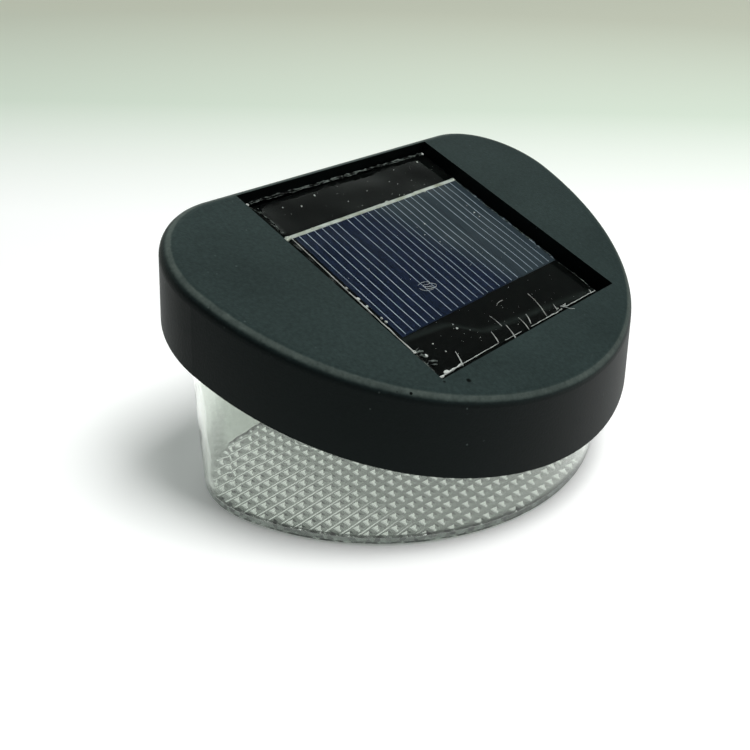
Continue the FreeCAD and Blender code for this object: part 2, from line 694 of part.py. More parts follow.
def make_wires():
    """The leads from the panel and the battery to the circuit board."""
    panel_bottom = sheet.glue_depth - sheet.recess_depth
    level = wire_level()
    slack = circuit_top() + sheet.panel_wire_slack
    rear_edge = sheet.circuit_width / 2 - sheet.circuit_setback
    leads = []
    for name, sign in (("panel_wire_red", 1), ("panel_wire_black", -1)):
        top = (sign * sheet.panel_wire_spread, -sheet.tub_hole_setback)
        foot = (sign * sheet.panel_wire_landing, rear_edge - sheet.panel_wire_inset)
        leads.append(insulated_wire(name, [(*top, panel_bottom), (*top, slack), (*foot, slack),
                                           (*foot, circuit_top())]))
    tab = (bay_length() - sheet.contact_depth) / 2
    slope = math.radians(sheet.roof_slope)
    tab_front = sheet.battery_setback + sheet.tab_width / 2
    tab_y = (level * math.sin(slope) - tab_front) / math.cos(slope) - sheet.wire_radius * math.tan(slope)
    edge = sheet.circuit_length / 2
    for name, sign in (("battery_wire_red", 1), ("battery_wire_black", -1)):
        leads.append(insulated_wire(name, [(sign * tab, tab_y, level),
                                           (sign * tab, -sheet.circuit_setback, level),
                                           (sign * edge, -sheet.circuit_setback, level)]))
    return leads


def make_switch_leads():
    """Two leads from the end of the switch to the left edge of the circuit board."""
    level = wire_level()
    lug_reach = bay_length() / 2 + sheet.bay_wall + sheet.lug_offset
    start = -lug_reach - sheet.lug_radius - sheet.switch_gap
    edge = -sheet.circuit_length / 2
    leads = []
    for name, step in (("inner", 0), ("outer", 1)):
        aside = step * sheet.lead_spacing
        y = sheet.lead_spacing / 2 - aside - sheet.switch_setback
        turn = start + sheet.lead_run - aside
        front = -sheet.circuit_setback - sheet.lead_landing - aside
        leads.append(insulated_wire(f"switch_lead_{name}", [(start, y, level), (turn, y, level),
                                                            (turn, front, level), (edge, front, level)]))
    return group("switch_leads", leads)


def make_lens_cup():
    """The clear cup: drafted walls, a flat floor, a rim inside the cap's skirt, two screw bosses behind."""
    outside = common("lens_block", [lens_prism("lens_outside", [], "0", "lens_edge_radius"),
                                    slab("lens_layer", -BIG, RIM_TOP)])
    rim = common("lens_rim", [cap_prism("rim_outside", ["cap_wall", "rim_play"]),
                              slab("rim_layer", "rim_gap - skirt_depth", RIM_TOP)])
    back = Rotation(Vector(1, 0, 0), 90)
    bosses = []
    holes = []
    for side, sign in SIDES:
        place = (f"{sign}mount_reach", "0", "mount_height", back)
        boss_rod = rod(f"mount_boss_{side}", "mount_boss_radius", "lens_setback + lens_wall / 2")
        hole_rod = rod(f"mount_hole_{side}", "mount_hole_radius", "lens_setback + 2 * lens_wall")
        bosses.append(upright(boss_rod, *place))
        holes.append(upright(hole_rod, *place))
    inside = lens_prism("lens_inside", ["lens_wall"], "lens_floor", "lens_inner_radius")
    return cut("lens_cup", fuse("lens_body", [outside, rim] + bosses), [inside] + holes)


def check():
    """Stops if any object of the document failed."""
    for thing in doc.Objects:
        if "Invalid" in thing.State or "Error" in thing.State:
            raise RuntimeError(f"{thing.Name} failed: {thing.State}")


def write(parts):
    """Writes each sub-part under its own name."""
    os.makedirs("parts", exist_ok=True)
    for part in parts:
        part.Label = part.Name
        shape = part.Shape
        if shape.isNull() or not shape.isValid() or not shape.Solids:
            raise RuntimeError(f"{part.Name} has no valid solid")
        shape.exportStep(f"parts/{part.Name}.step")
        room = shape.BoundBox
        print(f"{part.Name}: {len(shape.Solids)} solids, {shape.Volume:.1f} mm3,"
              f" {room.XLength:.1f} x {room.YLength:.1f} x {room.ZLength:.1f}")


parts = [make_cap_housing(), make_base_plate(), make_plate_screws(), make_battery(), make_spring()]
parts += [make_lens_cup()] + make_panel() + make_circuit() + make_switch() + make_cover() + make_wires()
parts += [make_lamp("right", "", (2, 3)), make_lamp("left", "-", (0, 1)), make_switch_leads()]
parts += [make_contact("plus_contact", ""), make_contact("minus_contact", "-")]
doc.recompute()
check()
write(parts)
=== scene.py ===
import math
import random

import bpy
from mathutils import Matrix, Vector


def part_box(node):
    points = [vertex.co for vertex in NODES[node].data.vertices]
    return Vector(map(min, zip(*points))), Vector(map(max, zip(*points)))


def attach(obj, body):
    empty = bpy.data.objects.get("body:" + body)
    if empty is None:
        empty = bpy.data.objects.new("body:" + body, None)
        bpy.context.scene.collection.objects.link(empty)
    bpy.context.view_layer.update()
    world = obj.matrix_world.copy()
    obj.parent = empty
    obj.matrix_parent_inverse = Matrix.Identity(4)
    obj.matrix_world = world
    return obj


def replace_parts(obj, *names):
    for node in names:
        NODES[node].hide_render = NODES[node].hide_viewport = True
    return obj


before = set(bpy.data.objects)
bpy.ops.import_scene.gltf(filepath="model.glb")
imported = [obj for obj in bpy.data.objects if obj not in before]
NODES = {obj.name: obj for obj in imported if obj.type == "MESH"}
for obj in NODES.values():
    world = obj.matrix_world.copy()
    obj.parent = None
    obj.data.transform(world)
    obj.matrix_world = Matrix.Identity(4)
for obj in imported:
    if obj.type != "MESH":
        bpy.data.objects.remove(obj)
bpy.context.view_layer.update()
scene = bpy.context.scene
scene.view_settings.view_transform = "Standard"
random.seed(7)


# ---- Camera -------------------------------------------------------------------------------
# A phone held about 25 cm from the light, above its front left corner, tipped slightly to the
# right. The angles and the distance are those that line the cap and the cup up with the photo.
CAMERA_AZIMUTH = math.radians(-47.630)
CAMERA_ELEVATION = math.radians(30.0247)
CAMERA_ROLL = 0.02273
CAMERA_SPOT = Vector((-0.139762, -0.106469, 0.117737))
SENSOR_WIDTH = 36.0
FOCAL_LENGTH = 42.595

camera = bpy.data.objects.new("camera", bpy.data.cameras.new("camera"))
scene.collection.objects.link(camera)
scene.camera = camera
camera.data.sensor_width = SENSOR_WIDTH
camera.data.lens = FOCAL_LENGTH
camera.data.clip_start = 0.01
camera.data.clip_end = 20.0
towards_camera = Vector((math.sin(CAMERA_AZIMUTH) * math.cos(CAMERA_ELEVATION),
                         -math.cos(CAMERA_AZIMUTH) * math.cos(CAMERA_ELEVATION),
                         math.sin(CAMERA_ELEVATION)))
camera.matrix_world = (Matrix.Translation(CAMERA_SPOT)
                       @ towards_camera.to_track_quat("Z", "Y").to_matrix().to_4x4()
                       @ Matrix.Rotation(CAMERA_ROLL, 4, "Z"))


# ---- Floor and lights ---------------------------------------------------------------------
# A sheet of pale board under the light. It is white round the object and turns grey-green far
# behind it. A wide soft lamp hangs overhead, and a dim sky fills the shadows.
def linear(code):
    """The linear colour of an sRGB hex value such as 3a4644."""
    parts = [int(code[place:place + 2], 16) / 255 for place in (0, 2, 4)]
    return tuple(part / 12.92 if part <= 0.04045 else ((part + 0.055) / 1.055) ** 2.4
                 for part in parts) + (1.0,)


def add_node(tree, kind, inputs=None, **settings):
    """Adds a shader node with its settings. An input is a value, or the socket that feeds it."""
    made = tree.nodes.new("ShaderNode" + kind)
    for name, value in settings.items():
        setattr(made, name, value)
    for name, value in (inputs or {}).items():
        if isinstance(value, bpy.types.NodeSocket):
            tree.links.new(value, made.inputs[name])
        else:
            made.inputs[name].default_value = value
    return made


def new_finish(name):
    """A material, its empty node tree and its Object coordinates, which are metres in the frame."""
    made = bpy.data.materials.new(name)
    made.use_nodes = True
    tree = made.node_tree
    tree.nodes.clear()
    return made, tree, add_node(tree, "TexCoord").outputs["Object"]


def settle(name):
    """Names the active piece and puts its place, turn and scale into its mesh."""
    piece = bpy.context.object
    bpy.ops.object.transform_apply(location=True, rotation=True, scale=True)
    piece.name = piece.data.name = name
    return piece


FLOOR_REACH = 3.0
FLOOR_GAP = 0.0001
FLOOR_NEAR = linear("fdfefd")
FLOOR_MID = linear("d9e5d6")
FLOOR_FAR = linear("dde1cf")
BACKWARDS = (0.739, 0.674, 0.0)
WHITE_ENDS = 0.145
GREEN_FULL = 0.325
GREY_FULL = 0.675
GLOW_NEAR = 0.14
GLOW_FAR = 0.8
SHOWN_THROUGH = 0.85

bpy.ops.object.select_all(action="DESELECT")
bpy.ops.mesh.primitive_plane_add(size=2 * FLOOR_REACH)
bpy.context.object.location.z = -FLOOR_GAP
floor = settle("floor")

# Matt painted board, too smooth to show a grain from here. Its tint follows the distance behind
# the light. What the camera sees of it also glows a little, more so far off, where the lamp no
# longer reaches. Through the clear cup it shows as an even pale tone.
pale_board, tree, spot = new_finish("pale_board")
behind = add_node(tree, "VectorMath", {0: spot, 1: BACKWARDS}, operation="DOT_PRODUCT")
greening = add_node(tree, "MapRange", {"Value": behind.outputs["Value"], "From Min": WHITE_ENDS,
                                       "From Max": GREEN_FULL})
greying = add_node(tree, "MapRange", {"Value": behind.outputs["Value"], "From Min": GREEN_FULL,
                                      "From Max": GREY_FULL})
greener = add_node(tree, "Mix", {0: greening.outputs[0], 6: FLOOR_NEAR, 7: FLOOR_MID}, data_type="RGBA")
shade = add_node(tree, "Mix", {0: greying.outputs[0], 6: greener.outputs[2], 7: FLOOR_FAR},
                 data_type="RGBA")
board_face = add_node(tree, "BsdfDiffuse", {"Color": shade.outputs[2]})
rays = add_node(tree, "LightPath")
seen = add_node(tree, "Math", {0: rays.outputs["Is Camera Ray"], 1: rays.outputs["Is Glossy Ray"]},
                operation="MAXIMUM")
reach = add_node(tree, "VectorMath", {0: spot}, operation="LENGTH")
farther = add_node(tree, "MapRange", {"Value": reach.outputs["Value"], "From Min": 0.7, "From Max": 2.2,
                                      "To Min": GLOW_NEAR, "To Max": GLOW_FAR})
seen_glow = add_node(tree, "Math", {0: seen.outputs[0], 1: farther.outputs[0]}, operation="MULTIPLY")
through = add_node(tree, "Math", {0: rays.outputs["Is Transmission Ray"], 1: SHOWN_THROUGH},
                   operation="MULTIPLY")
glow = add_node(tree, "Math", {0: seen_glow.outputs[0], 1: through.outputs[0]}, operation="MAXIMUM")
lift = add_node(tree, "Emission", {"Color": shade.outputs[2], "Strength": glow.outputs[0]})
lifted = add_node(tree, "AddShader", {0: board_face.outputs[0], 1: lift.outputs[0]})
add_node(tree, "OutputMaterial", {"Surface": lifted.outputs[0]})
floor.data.materials.append(pale_board)

# The sky shines from low behind the light and is dim elsewhere, which keeps the black walls dark.
# Seen straight or through the cup, it is an even pale tone.
SHINE_FROM = (0.20, 0.95, -0.25)
SHINE_STARTS = 0.16
SHINE_FULL = 0.5
SKY_DIM = 0.06
SKY_BRIGHT = 0.95

sky = bpy.data.worlds.new("even_sky")
scene.world = sky
sky.use_nodes = True
tree = sky.node_tree
tree.nodes.clear()
way = add_node(tree, "TexCoord").outputs["Generated"]
behind = add_node(tree, "VectorMath", {0: way, 1: SHINE_FROM}, operation="DOT_PRODUCT")
bright = add_node(tree, "MapRange", {"Value": behind.outputs["Value"], "From Min": SHINE_STARTS,
                                     "From Max": SHINE_FULL, "To Min": SKY_DIM, "To Max": SKY_BRIGHT},
                  interpolation_type="SMOOTHSTEP")
rays = add_node(tree, "LightPath")
looked_at = add_node(tree, "Math", {0: rays.outputs["Is Camera Ray"],
                                    1: rays.outputs["Is Transmission Ray"]}, operation="MAXIMUM")
shown = add_node(tree, "Mix", {0: looked_at.outputs[0], 2: bright.outputs[0], 3: SHOWN_THROUGH},
                 data_type="FLOAT")
room = add_node(tree, "Background", {"Color": linear("e4efe9"), "Strength": shown.outputs[0]})
add_node(tree, "OutputWorld", {"Surface": room.outputs[0]})

# The lamp is left out of mirror reflections, where it would hide the panel under a white patch.
LAMP_SPOT = Vector((0.08, -0.32, 1.02))
LAMP_AIM = Vector((0, 0, 0.03))
light = bpy.data.lights.new("ceiling_lamp", "AREA")
light.size = 0.45
light.energy = 10.5
lamp = bpy.data.objects.new("ceiling_lamp", light)
scene.collection.objects.link(lamp)
lamp.location = LAMP_SPOT
lamp.rotation_euler = (LAMP_SPOT - LAMP_AIM).to_track_quat("Z", "Y").to_euler()
lamp.visible_glossy = False


# ---- Cap housing --------------------------------------------------------------------------
# The cap is moulded in black ABS with a fine spark-eroded grain. Its roof carries a painted grey-green
# sheen, a painted paler highlight runs along its front edge, and it carries small nicks.
ROOF_SLOPE = math.radians(20.0)
FENCE_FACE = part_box("cap_housing")[1].y
ROOF_HEIGHT = 0.0595


def roof(x, along, out):
    """A point in metres from millimetres across, along the roof (minus is forwards) and out of it."""
    return Vector((x, along * math.cos(ROOF_SLOPE) - out * math.sin(ROOF_SLOPE),
                   along * math.sin(ROOF_SLOPE) + out * math.cos(ROOF_SLOPE))) / 1000 + \
        Vector((0, FENCE_FACE, ROOF_HEIGHT))


def dress(name, finish):
    """Gives a CAD node its finish."""
    node = NODES[name]
    node.data.materials.clear()
    node.data.materials.append(finish)


# Black ABS with a spark grain: matt, near black on the walls, with a painted grey-green sheen on the roof.
# The real grain is about 0.05 mm. It is drawn as a bump of 0.4 mm and a stipple of 0.8 mm, so that
# it shows. The painted highlight along the front edge is broken up every 2.4 mm, the faint clouds
# are 18 mm and the specks 0.4 mm. Where the painted edge highlight and the painted roof sheen lie
# goes by the cosine of a face's turn from the roof. Each nick is given across, along and by its radius.
ROOF_NORMAL = (0.0, -0.342, 0.94)
ROOF_SHEEN_STARTS = 0.45
ROOF_SHEEN_FULL = 0.98
EDGE_SHEEN_STARTS = 0.66
EDGE_SHEEN_FULL = 0.86
EDGE_SHEEN_FADES = 0.93
EDGE_SHEEN_ENDS = 0.985
NICK_DEPTH = 0.4
NICK_EDGE = 1.4
NICKS = ((-55.6, -39.0, 0.5), (-39.4, -61.6, 0.35), (-37.4, -63.2, 0.35), (-25.5, -66.8, 0.7),
         (-30.0, -64.6, 0.55))
black_abs, tree, spot = new_finish("spark_grained_black_abs")
facing = add_node(tree, "NewGeometry").outputs["Normal"]
upward = add_node(tree, "VectorMath", {0: facing, 1: ROOF_NORMAL}, operation="DOT_PRODUCT")
# Painted sheen: faces turned towards the roof are painted grey-green instead of near black.
painted_roof_sheen = add_node(tree, "MapRange", {"Value": upward.outputs["Value"], "From Min": ROOF_SHEEN_STARTS,
                                     "From Max": ROOF_SHEEN_FULL}, interpolation_type="SMOOTHSTEP")
body = add_node(tree, "Mix", {0: painted_roof_sheen.outputs[0], 6: linear("040809"), 7: linear("2b3635")},
                data_type="RGBA")
# Painted highlight: a paler band along the rounded front edge, broken up by noise.
edge_sheen_in = add_node(tree, "MapRange", {"Value": upward.outputs["Value"], "From Min": EDGE_SHEEN_STARTS,
                                     "From Max": EDGE_SHEEN_FULL}, interpolation_type="SMOOTHSTEP")
edge_sheen_out = add_node(tree, "MapRange", {"Value": upward.outputs["Value"], "From Min": EDGE_SHEEN_ENDS,
                                      "From Max": EDGE_SHEEN_FADES}, interpolation_type="SMOOTHSTEP")
sheen_breakup = add_node(tree, "TexNoise", {"Vector": spot, "Scale": 420.0, "Detail": 4.0})
sheen_breakup_range = add_node(tree, "MapRange", {"Value": sheen_breakup.outputs["Fac"], "From Min": 0.3, "From Max": 0.7,
                                      "To Min": 0.6, "To Max": 1.0})
edge_sheen_band = add_node(tree, "Math", {0: edge_sheen_in.outputs[0], 1: edge_sheen_out.outputs[0]}, operation="MULTIPLY")
painted_edge_sheen = add_node(tree, "Math", {0: edge_sheen_band.outputs[0], 1: sheen_breakup_range.outputs[0]}, operation="MULTIPLY")
sheened_body = add_node(tree, "Mix", {0: painted_edge_sheen.outputs[0], 6: body.outputs[2], 7: linear("4b5450")},
                     data_type="RGBA")
colour = sheened_body.outputs[2]
for scale, detail, depth in ((55.0, 5.0, 0.3), (1300.0, 2.0, 0.38)):
    noise = add_node(tree, "TexNoise", {"Vector": spot, "Scale": scale, "Detail": detail})
    darker, lighter = 1 - depth, 1 + depth
    tint = add_node(tree, "Mix", {0: noise.outputs["Fac"], 6: (darker, darker, darker, 1.0),
                                  7: (lighter, lighter, lighter, 1.0)}, data_type="RGBA")
    mottled = add_node(tree, "Mix", {0: 1.0, 6: colour, 7: tint.outputs[2]}, data_type="RGBA",
                       blend_type="MULTIPLY")
    colour = mottled.outputs[2]
pits = add_node(tree, "TexVoronoi", {"Vector": spot, "Scale": 1700.0})
pit_pick = add_node(tree, "SeparateColor", {"Color": pits.outputs["Color"]})
few = add_node(tree, "MapRange", {"Value": pit_pick.outputs["Red"], "From Min": 0.993, "From Max": 0.998})
small = add_node(tree, "MapRange", {"Value": pits.outputs["Distance"], "From Min": 0.42, "From Max": 0.25})
speck = add_node(tree, "Math", {0: few.outputs[0], 1: small.outputs[0]}, operation="MULTIPLY")
speck_show = add_node(tree, "Math", {0: speck.outputs[0], 1: 0.22}, operation="MULTIPLY")
speckled = add_node(tree, "Mix", {0: speck_show.outputs[0], 6: colour, 7: linear("6d7976")},
                    data_type="RGBA")
colour = speckled.outputs[2]
for x, along, size in NICKS:
    away = add_node(tree, "VectorMath", {0: spot, 1: roof(x, along, -NICK_DEPTH)}, operation="DISTANCE")
    inside = add_node(tree, "MapRange", {"Value": away.outputs["Value"], "From Min": size / 1000,
                                         "From Max": size / 1000 / NICK_EDGE})
    nicked = add_node(tree, "Mix", {0: inside.outputs[0], 6: colour, 7: linear("020303")}, data_type="RGBA")
    colour = nicked.outputs[2]
grain = add_node(tree, "TexNoise", {"Vector": spot, "Scale": 2600.0, "Detail": 3.0})
bump = add_node(tree, "Bump", {"Height": grain.outputs["Fac"], "Strength": 0.5, "Distance": 0.00009})
face = add_node(tree, "BsdfPrincipled", {"Base Color": colour, "Roughness": 0.5, "Specular IOR Level": 0.15,
                                         "Specular Tint": linear("cbddd7"), "Normal": bump.outputs[0]})
add_node(tree, "OutputMaterial", {"Surface": face.outputs[0]})
dress("cap_housing", black_abs)


# ---- Solar panel --------------------------------------------------------------------------
# A black board carries four strips of blue silicon under silver lines, joined along the back by
# a tinned ribbon that was soldered by hand. The strips were laid about a degree askew. All of
# it is modelled flat, in millimetres across, along and out of the roof, and then laid on it. A
# strip is given by its left side, its right side and its first silver line.
ROOF = (Matrix.Translation((0, FENCE_FACE, ROOF_HEIGHT)) @ Matrix.Rotation(ROOF_SLOPE, 4, "X")
        @ Matrix.Scale(0.001, 4))
LEAN = 0.025
TURN = 0.010
ASKEW = ROOF @ Matrix(((1, LEAN, 0, 0.825), (TURN, 1, 0, -0.017), (0, 0, 1, 0), (0, 0, 0, 1)))
BOARD_TOP = -3.7
CELL_TOP = -3.45
RIBBON_TOP = -3.3
RESIN_TOP = -2.8
CELL_BACK = -17.3
CELL_FRONT = -50.2
STRIPS = ((-24.8, -11.5, -23.5), (-11.4, 1.9, -9.36), (2.0, 15.3, 3.04), (15.4, 28.7, 17.7))
LINE_PITCH = 2.18
LINES = 6
LINE_WIDTH = 0.17


def add_block(left, right, front, back, low, high, edge):
    """A block with softened edges, from its sides and its depths under the roof."""
    bpy.ops.object.select_all(action="DESELECT")
    bpy.ops.mesh.primitive_cube_add(
        size=1, location=((left + right) / 2, (front + back) / 2, (low + high) / 2),
        scale=(right - left, back - front, high - low))
    bpy.ops.object.transform_apply(location=True, rotation=False, scale=True)
    bpy.ops.object.mode_set(mode="EDIT")
    bpy.ops.mesh.bevel(offset=edge, segments=2, affect="EDGES")
    bpy.ops.object.mode_set(mode="OBJECT")
    return bpy.context.object


def pick(*pieces):
    """Selects these pieces and nothing else. The first is then the active one."""
    bpy.ops.object.select_all(action="DESELECT")
    for piece in pieces:
        piece.select_set(True)
    bpy.context.view_layer.objects.active = pieces[0]


def lay(pieces, name, finish, place):
    """Joins the pieces of a thing, puts them in their place on the cap and dresses them."""
    pick(*pieces)
    if len(pieces) > 1:
        bpy.ops.object.join()
    whole = settle(name)
    whole.data.transform(place)
    whole.data.materials.clear()
    whole.data.materials.append(finish)
    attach(whole, "cap")
    return whole


def cloud(tree, spot, scale, detail, deep, pale):
    """A noise that clouds one colour with another. Gives the noise and the colour."""
    noise = add_node(tree, "TexNoise", {"Vector": spot, "Scale": scale, "Detail": detail})
    mixed = add_node(tree, "Mix", {0: noise.outputs["Fac"], 6: linear(deep), 7: linear(pale)},
                     data_type="RGBA")
    return noise.outputs["Fac"], mixed.outputs[2]


# Polycrystalline silicon: a deep navy glass with grains of 0.4 mm that take slightly different
# blues. It has no gloss of its own under the resin. A painted reflection, a grey patch, dulls the
# strips' right half, where a slanting reflection lies on the real one.
REFLECTION_SLANT = 0.401
REFLECTION_STARTS = FENCE_FACE * REFLECTION_SLANT - 0.0105
REFLECTION_FULL = FENCE_FACE * REFLECTION_SLANT - 0.002
blue_silicon, tree, spot = new_finish("polycrystalline_silicon")
grains = add_node(tree, "TexVoronoi", {"Vector": spot, "Scale": 2600.0})
grain_hue = add_node(tree, "SeparateColor", {"Color": grains.outputs["Color"]})
_, blue = cloud(tree, spot, 55.0, 2.0, "040a18", "091222")
spark = add_node(tree, "Mix", {0: grain_hue.outputs["Red"], 6: blue, 7: linear("0f192f")}, data_type="RGBA")
# Painted reflection: a grey patch over the strips' right half.
sideways = add_node(tree, "VectorMath", {0: spot, 1: (1.0, REFLECTION_SLANT, 0.0)}, operation="DOT_PRODUCT")
painted_reflection = add_node(tree, "MapRange", {"Value": sideways.outputs["Value"], "From Min": REFLECTION_STARTS,
                                   "From Max": REFLECTION_FULL}, interpolation_type="SMOOTHSTEP")
reflected_silicon = add_node(tree, "Mix", {0: painted_reflection.outputs[0], 6: spark.outputs[2], 7: linear("242c33")},
                  data_type="RGBA")
face = add_node(tree, "BsdfPrincipled", {"Base Color": reflected_silicon.outputs[2], "Roughness": 0.6,
                                         "Specular IOR Level": 0.08})
add_node(tree, "OutputMaterial", {"Surface": face.outputs[0]})

strips = []
for left, right, _ in STRIPS:
    uneven = random.uniform(-0.12, 0.12)
    strips.append(add_block(left, right, CELL_FRONT + uneven, CELL_BACK, BOARD_TOP - 0.05, CELL_TOP,
                            0.04))
cells = lay(strips, "silicon_strips", blue_silicon, ASKEW)
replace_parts(cells, "solar_cells")

# Screen-printed silver paste: a pale matt grey that wears thin over stretches of 6 mm.
silver_paste, tree, spot = new_finish("printed_silver_paste")
_, paste = cloud(tree, spot, 160.0, 3.0, "566170", "a3afbc")
face = add_node(tree, "BsdfPrincipled", {"Base Color": paste, "Roughness": 0.5, "Specular IOR Level": 0.2})
add_node(tree, "OutputMaterial", {"Surface": face.outputs[0]})

first_line = add_block(-LINE_WIDTH / 2, LINE_WIDTH / 2, CELL_FRONT + 0.3, CELL_BACK,
                       CELL_TOP - 0.03, CELL_TOP + 0.03, 0.015)
lines = []
for _, _, start in STRIPS:
    for count in range(LINES):
        line = first_line.copy()
        line.data = first_line.data.copy()
        line.location.x = start + count * LINE_PITCH
        scene.collection.objects.link(line)
        lines.append(line)
bpy.data.objects.remove(first_line)
lay(lines, "silver_lines", silver_paste, ASKEW)

# Tinned copper ribbon and its solder: cream to silver, brushed by the iron in patches of 3 mm.
tinned_copper, tree, spot = new_finish("tinned_copper_ribbon")
patches = add_node(tree, "TexNoise", {"Vector": spot, "Scale": 320.0, "Detail": 3.0})
contrast = add_node(tree, "MapRange", {"Value": patches.outputs["Fac"], "From Min": 0.35, "From Max": 0.65})
tin = add_node(tree, "Mix", {0: contrast.outputs[0], 6: linear("8b8f80"), 7: linear("b2b6b4")},
               data_type="RGBA")
bump = add_node(tree, "Bump", {"Height": patches.outputs["Fac"], "Strength": 0.3, "Distance": 0.0001})
face = add_node(tree, "BsdfPrincipled", {"Base Color": tin.outputs[2], "Roughness": 0.42, "Metallic": 0.35,
                                         "Normal": bump.outputs[0]})
add_node(tree, "OutputMaterial", {"Surface": face.outputs[0]})

ribbon_lengths = []
for place, (left, right, _) in enumerate(STRIPS):
    shift = random.uniform(-0.1, 0.1)
    length = add_block(left - 1.5, right + 0.4, -17.35 + shift, -16.45 + shift, CELL_TOP - 0.1,
                       RIBBON_TOP + 0.02 * place, 0.05)
    bpy.ops.object.mode_set(mode="EDIT")
    bpy.ops.mesh.select_all(action="SELECT")
    bpy.ops.mesh.bisect(plane_co=(left + 4.0, 0, 0), plane_no=(1, 0, 0))
    bpy.ops.mesh.select_all(action="SELECT")
    bpy.ops.mesh.bisect(plane_co=(left + 9.0, 0, 0), plane_no=(1, 0, 0))
    bpy.ops.mesh.select_all(action="SELECT")
    bpy.ops.transform.vertex_random(offset=0.05, seed=place)
    bpy.ops.object.mode_set(mode="OBJECT")
    ribbon_lengths.append(length)
ribbon = lay(ribbon_lengths, "tinned_ribbon", tinned_copper, ASKEW)
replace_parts(ribbon, "cell_ribbons")


def add_blob(x, along, out, size, seed):
    """A small lumpy drop, from its middle and its width, length and height."""
    bpy.ops.object.select_all(action="DESELECT")
    bpy.ops.mesh.primitive_ico_sphere_add(subdivisions=2, radius=0.5, location=(x, along, out),
                                          scale=size)
    bpy.ops.object.transform_apply(location=True, rotation=False, scale=True)
    bpy.ops.object.mode_set(mode="EDIT")
    bpy.ops.transform.vertex_random(offset=0.16 * min(size), seed=seed)
    bpy.ops.object.mode_set(mode="OBJECT")
    bpy.ops.object.shade_smooth()
    return bpy.context.object


# The solder joints, by their place across, their length and their width.
JOINTS = ((-26.0, 2.2, 1.3), (-18.6, 1.1, 0.8), (-14.2, 1.8, 0.9), (-8.0, 0.9, 1.0), (1.2, 0.7, 0.8),
          (4.9, 1.4, 0.95), (13.2, 0.8, 0.8), (17.3, 1.2, 1.0), (18.9, 0.6, 0.9), (28.6, 1.3, 1.0))
beads = []
for place, (x, length, width) in enumerate(JOINTS):
    beads.append(add_blob(x, -16.85 + 0.35 * random.uniform(-1, 1), RIBBON_TOP - 0.02,
                          (length, width, 0.34), place + 1))
lay(beads, "solder_joints", tinned_copper, ROOF)

# Black solder mask, seen through the resin, so it shows no gloss. Dust lies on it in patches of a
# millimetre. In front of the strips a painted reflection, a faint pale streak, runs across, turns
# back at its left end and fades backwards, where the resin's wavy face reflects light on the real one.
STREAK_FRONT = roof(0, -57.6, 0).y
STREAK_RISE = 0.0045
STREAK_BEND = -0.007
STREAK_END = -0.015
STREAK_SLOPE = -0.098

board_mask, tree, spot = new_finish("black_solder_mask")
dusty = add_node(tree, "TexNoise", {"Vector": spot, "Scale": 900.0, "Detail": 3.0})
film = add_node(tree, "MapRange", {"Value": dusty.outputs["Fac"], "From Min": 0.45, "From Max": 0.75})
mask = add_node(tree, "Mix", {0: film.outputs[0], 6: linear("030404"), 7: linear("050706")},
                data_type="RGBA")
places = add_node(tree, "SeparateXYZ", {"Vector": spot})
# Painted reflection: a faint pale streak in front of the strips.
turn_back = add_node(tree, "MapRange", {"Value": places.outputs["X"], "From Min": STREAK_BEND,
                                        "From Max": STREAK_END, "To Min": STREAK_FRONT,
                                        "To Max": STREAK_FRONT + STREAK_RISE},
                     interpolation_type="SMOOTHSTEP")
swept = add_node(tree, "Math", {0: places.outputs["X"], 1: STREAK_SLOPE, 2: turn_back.outputs[0]},
                 operation="MULTIPLY_ADD")
aside = add_node(tree, "Math", {0: places.outputs["Y"], 1: swept.outputs[0]}, operation="SUBTRACT")
streak = add_node(tree, "MapRange", {"Value": aside.outputs[0], "From Min": -0.0006, "From Max": 0.0004},
                  interpolation_type="SMOOTHSTEP")
fading = add_node(tree, "MapRange", {"Value": aside.outputs[0], "From Min": 0.0017, "From Max": 0.0003},
                  interpolation_type="SMOOTHSTEP")
painted_reflection_streak = add_node(tree, "Math", {0: streak.outputs[0], 1: fading.outputs[0]}, operation="MULTIPLY")
mask_and_reflection = add_node(tree, "Mix", {0: painted_reflection_streak.outputs[0], 6: mask.outputs[2], 7: linear("151918")},
                   data_type="RGBA")
face = add_node(tree, "BsdfPrincipled", {"Base Color": mask_and_reflection.outputs[2], "Roughness": 0.8,
                                         "Specular IOR Level": 0.05})
add_node(tree, "OutputMaterial", {"Surface": face.outputs[0]})
dress("solar_board", board_mask)

# Hot-melt glue: milky and waxy, with a soft gloss and bubbles of 1.4 mm.
hot_glue, tree, spot = new_finish("hot_melt_glue")
bubbles = add_node(tree, "TexVoronoi", {"Vector": spot, "Scale": 700.0})
milk = add_node(tree, "Mix", {0: bubbles.outputs["Distance"], 6: linear("efe9d6"), 7: linear("d6cfb8")},
                data_type="RGBA")
bump = add_node(tree, "Bump", {"Height": bubbles.outputs["Distance"], "Strength": 0.25, "Distance": 0.0002})
face = add_node(tree, "BsdfPrincipled", {"Base Color": milk.outputs[2], "Roughness": 0.38,
                                         "Subsurface Weight": 0.25, "Subsurface Scale": 0.001,
                                         "Normal": bump.outputs[0]})
add_node(tree, "OutputMaterial", {"Surface": face.outputs[0]})
dress("panel_glue", hot_glue)


# ---- Resin over the panel -----------------------------------------------------------------
# Clear epoxy is flooded over the board. It set with a wavy face, ragged edges and a wrinkled
# skin along the walls, and age has crazed it near the front. Dust sticks to it.
RESIN_LEFT = -26.9
RESIN_RIGHT = 28.5
RESIN_FRONT = -61.9
RESIN_BACK = -5.9
RESIN_FACES_ACROSS = 68
RESIN_FACES_ALONG = 70
SOFT_EDGE = math.radians(40)


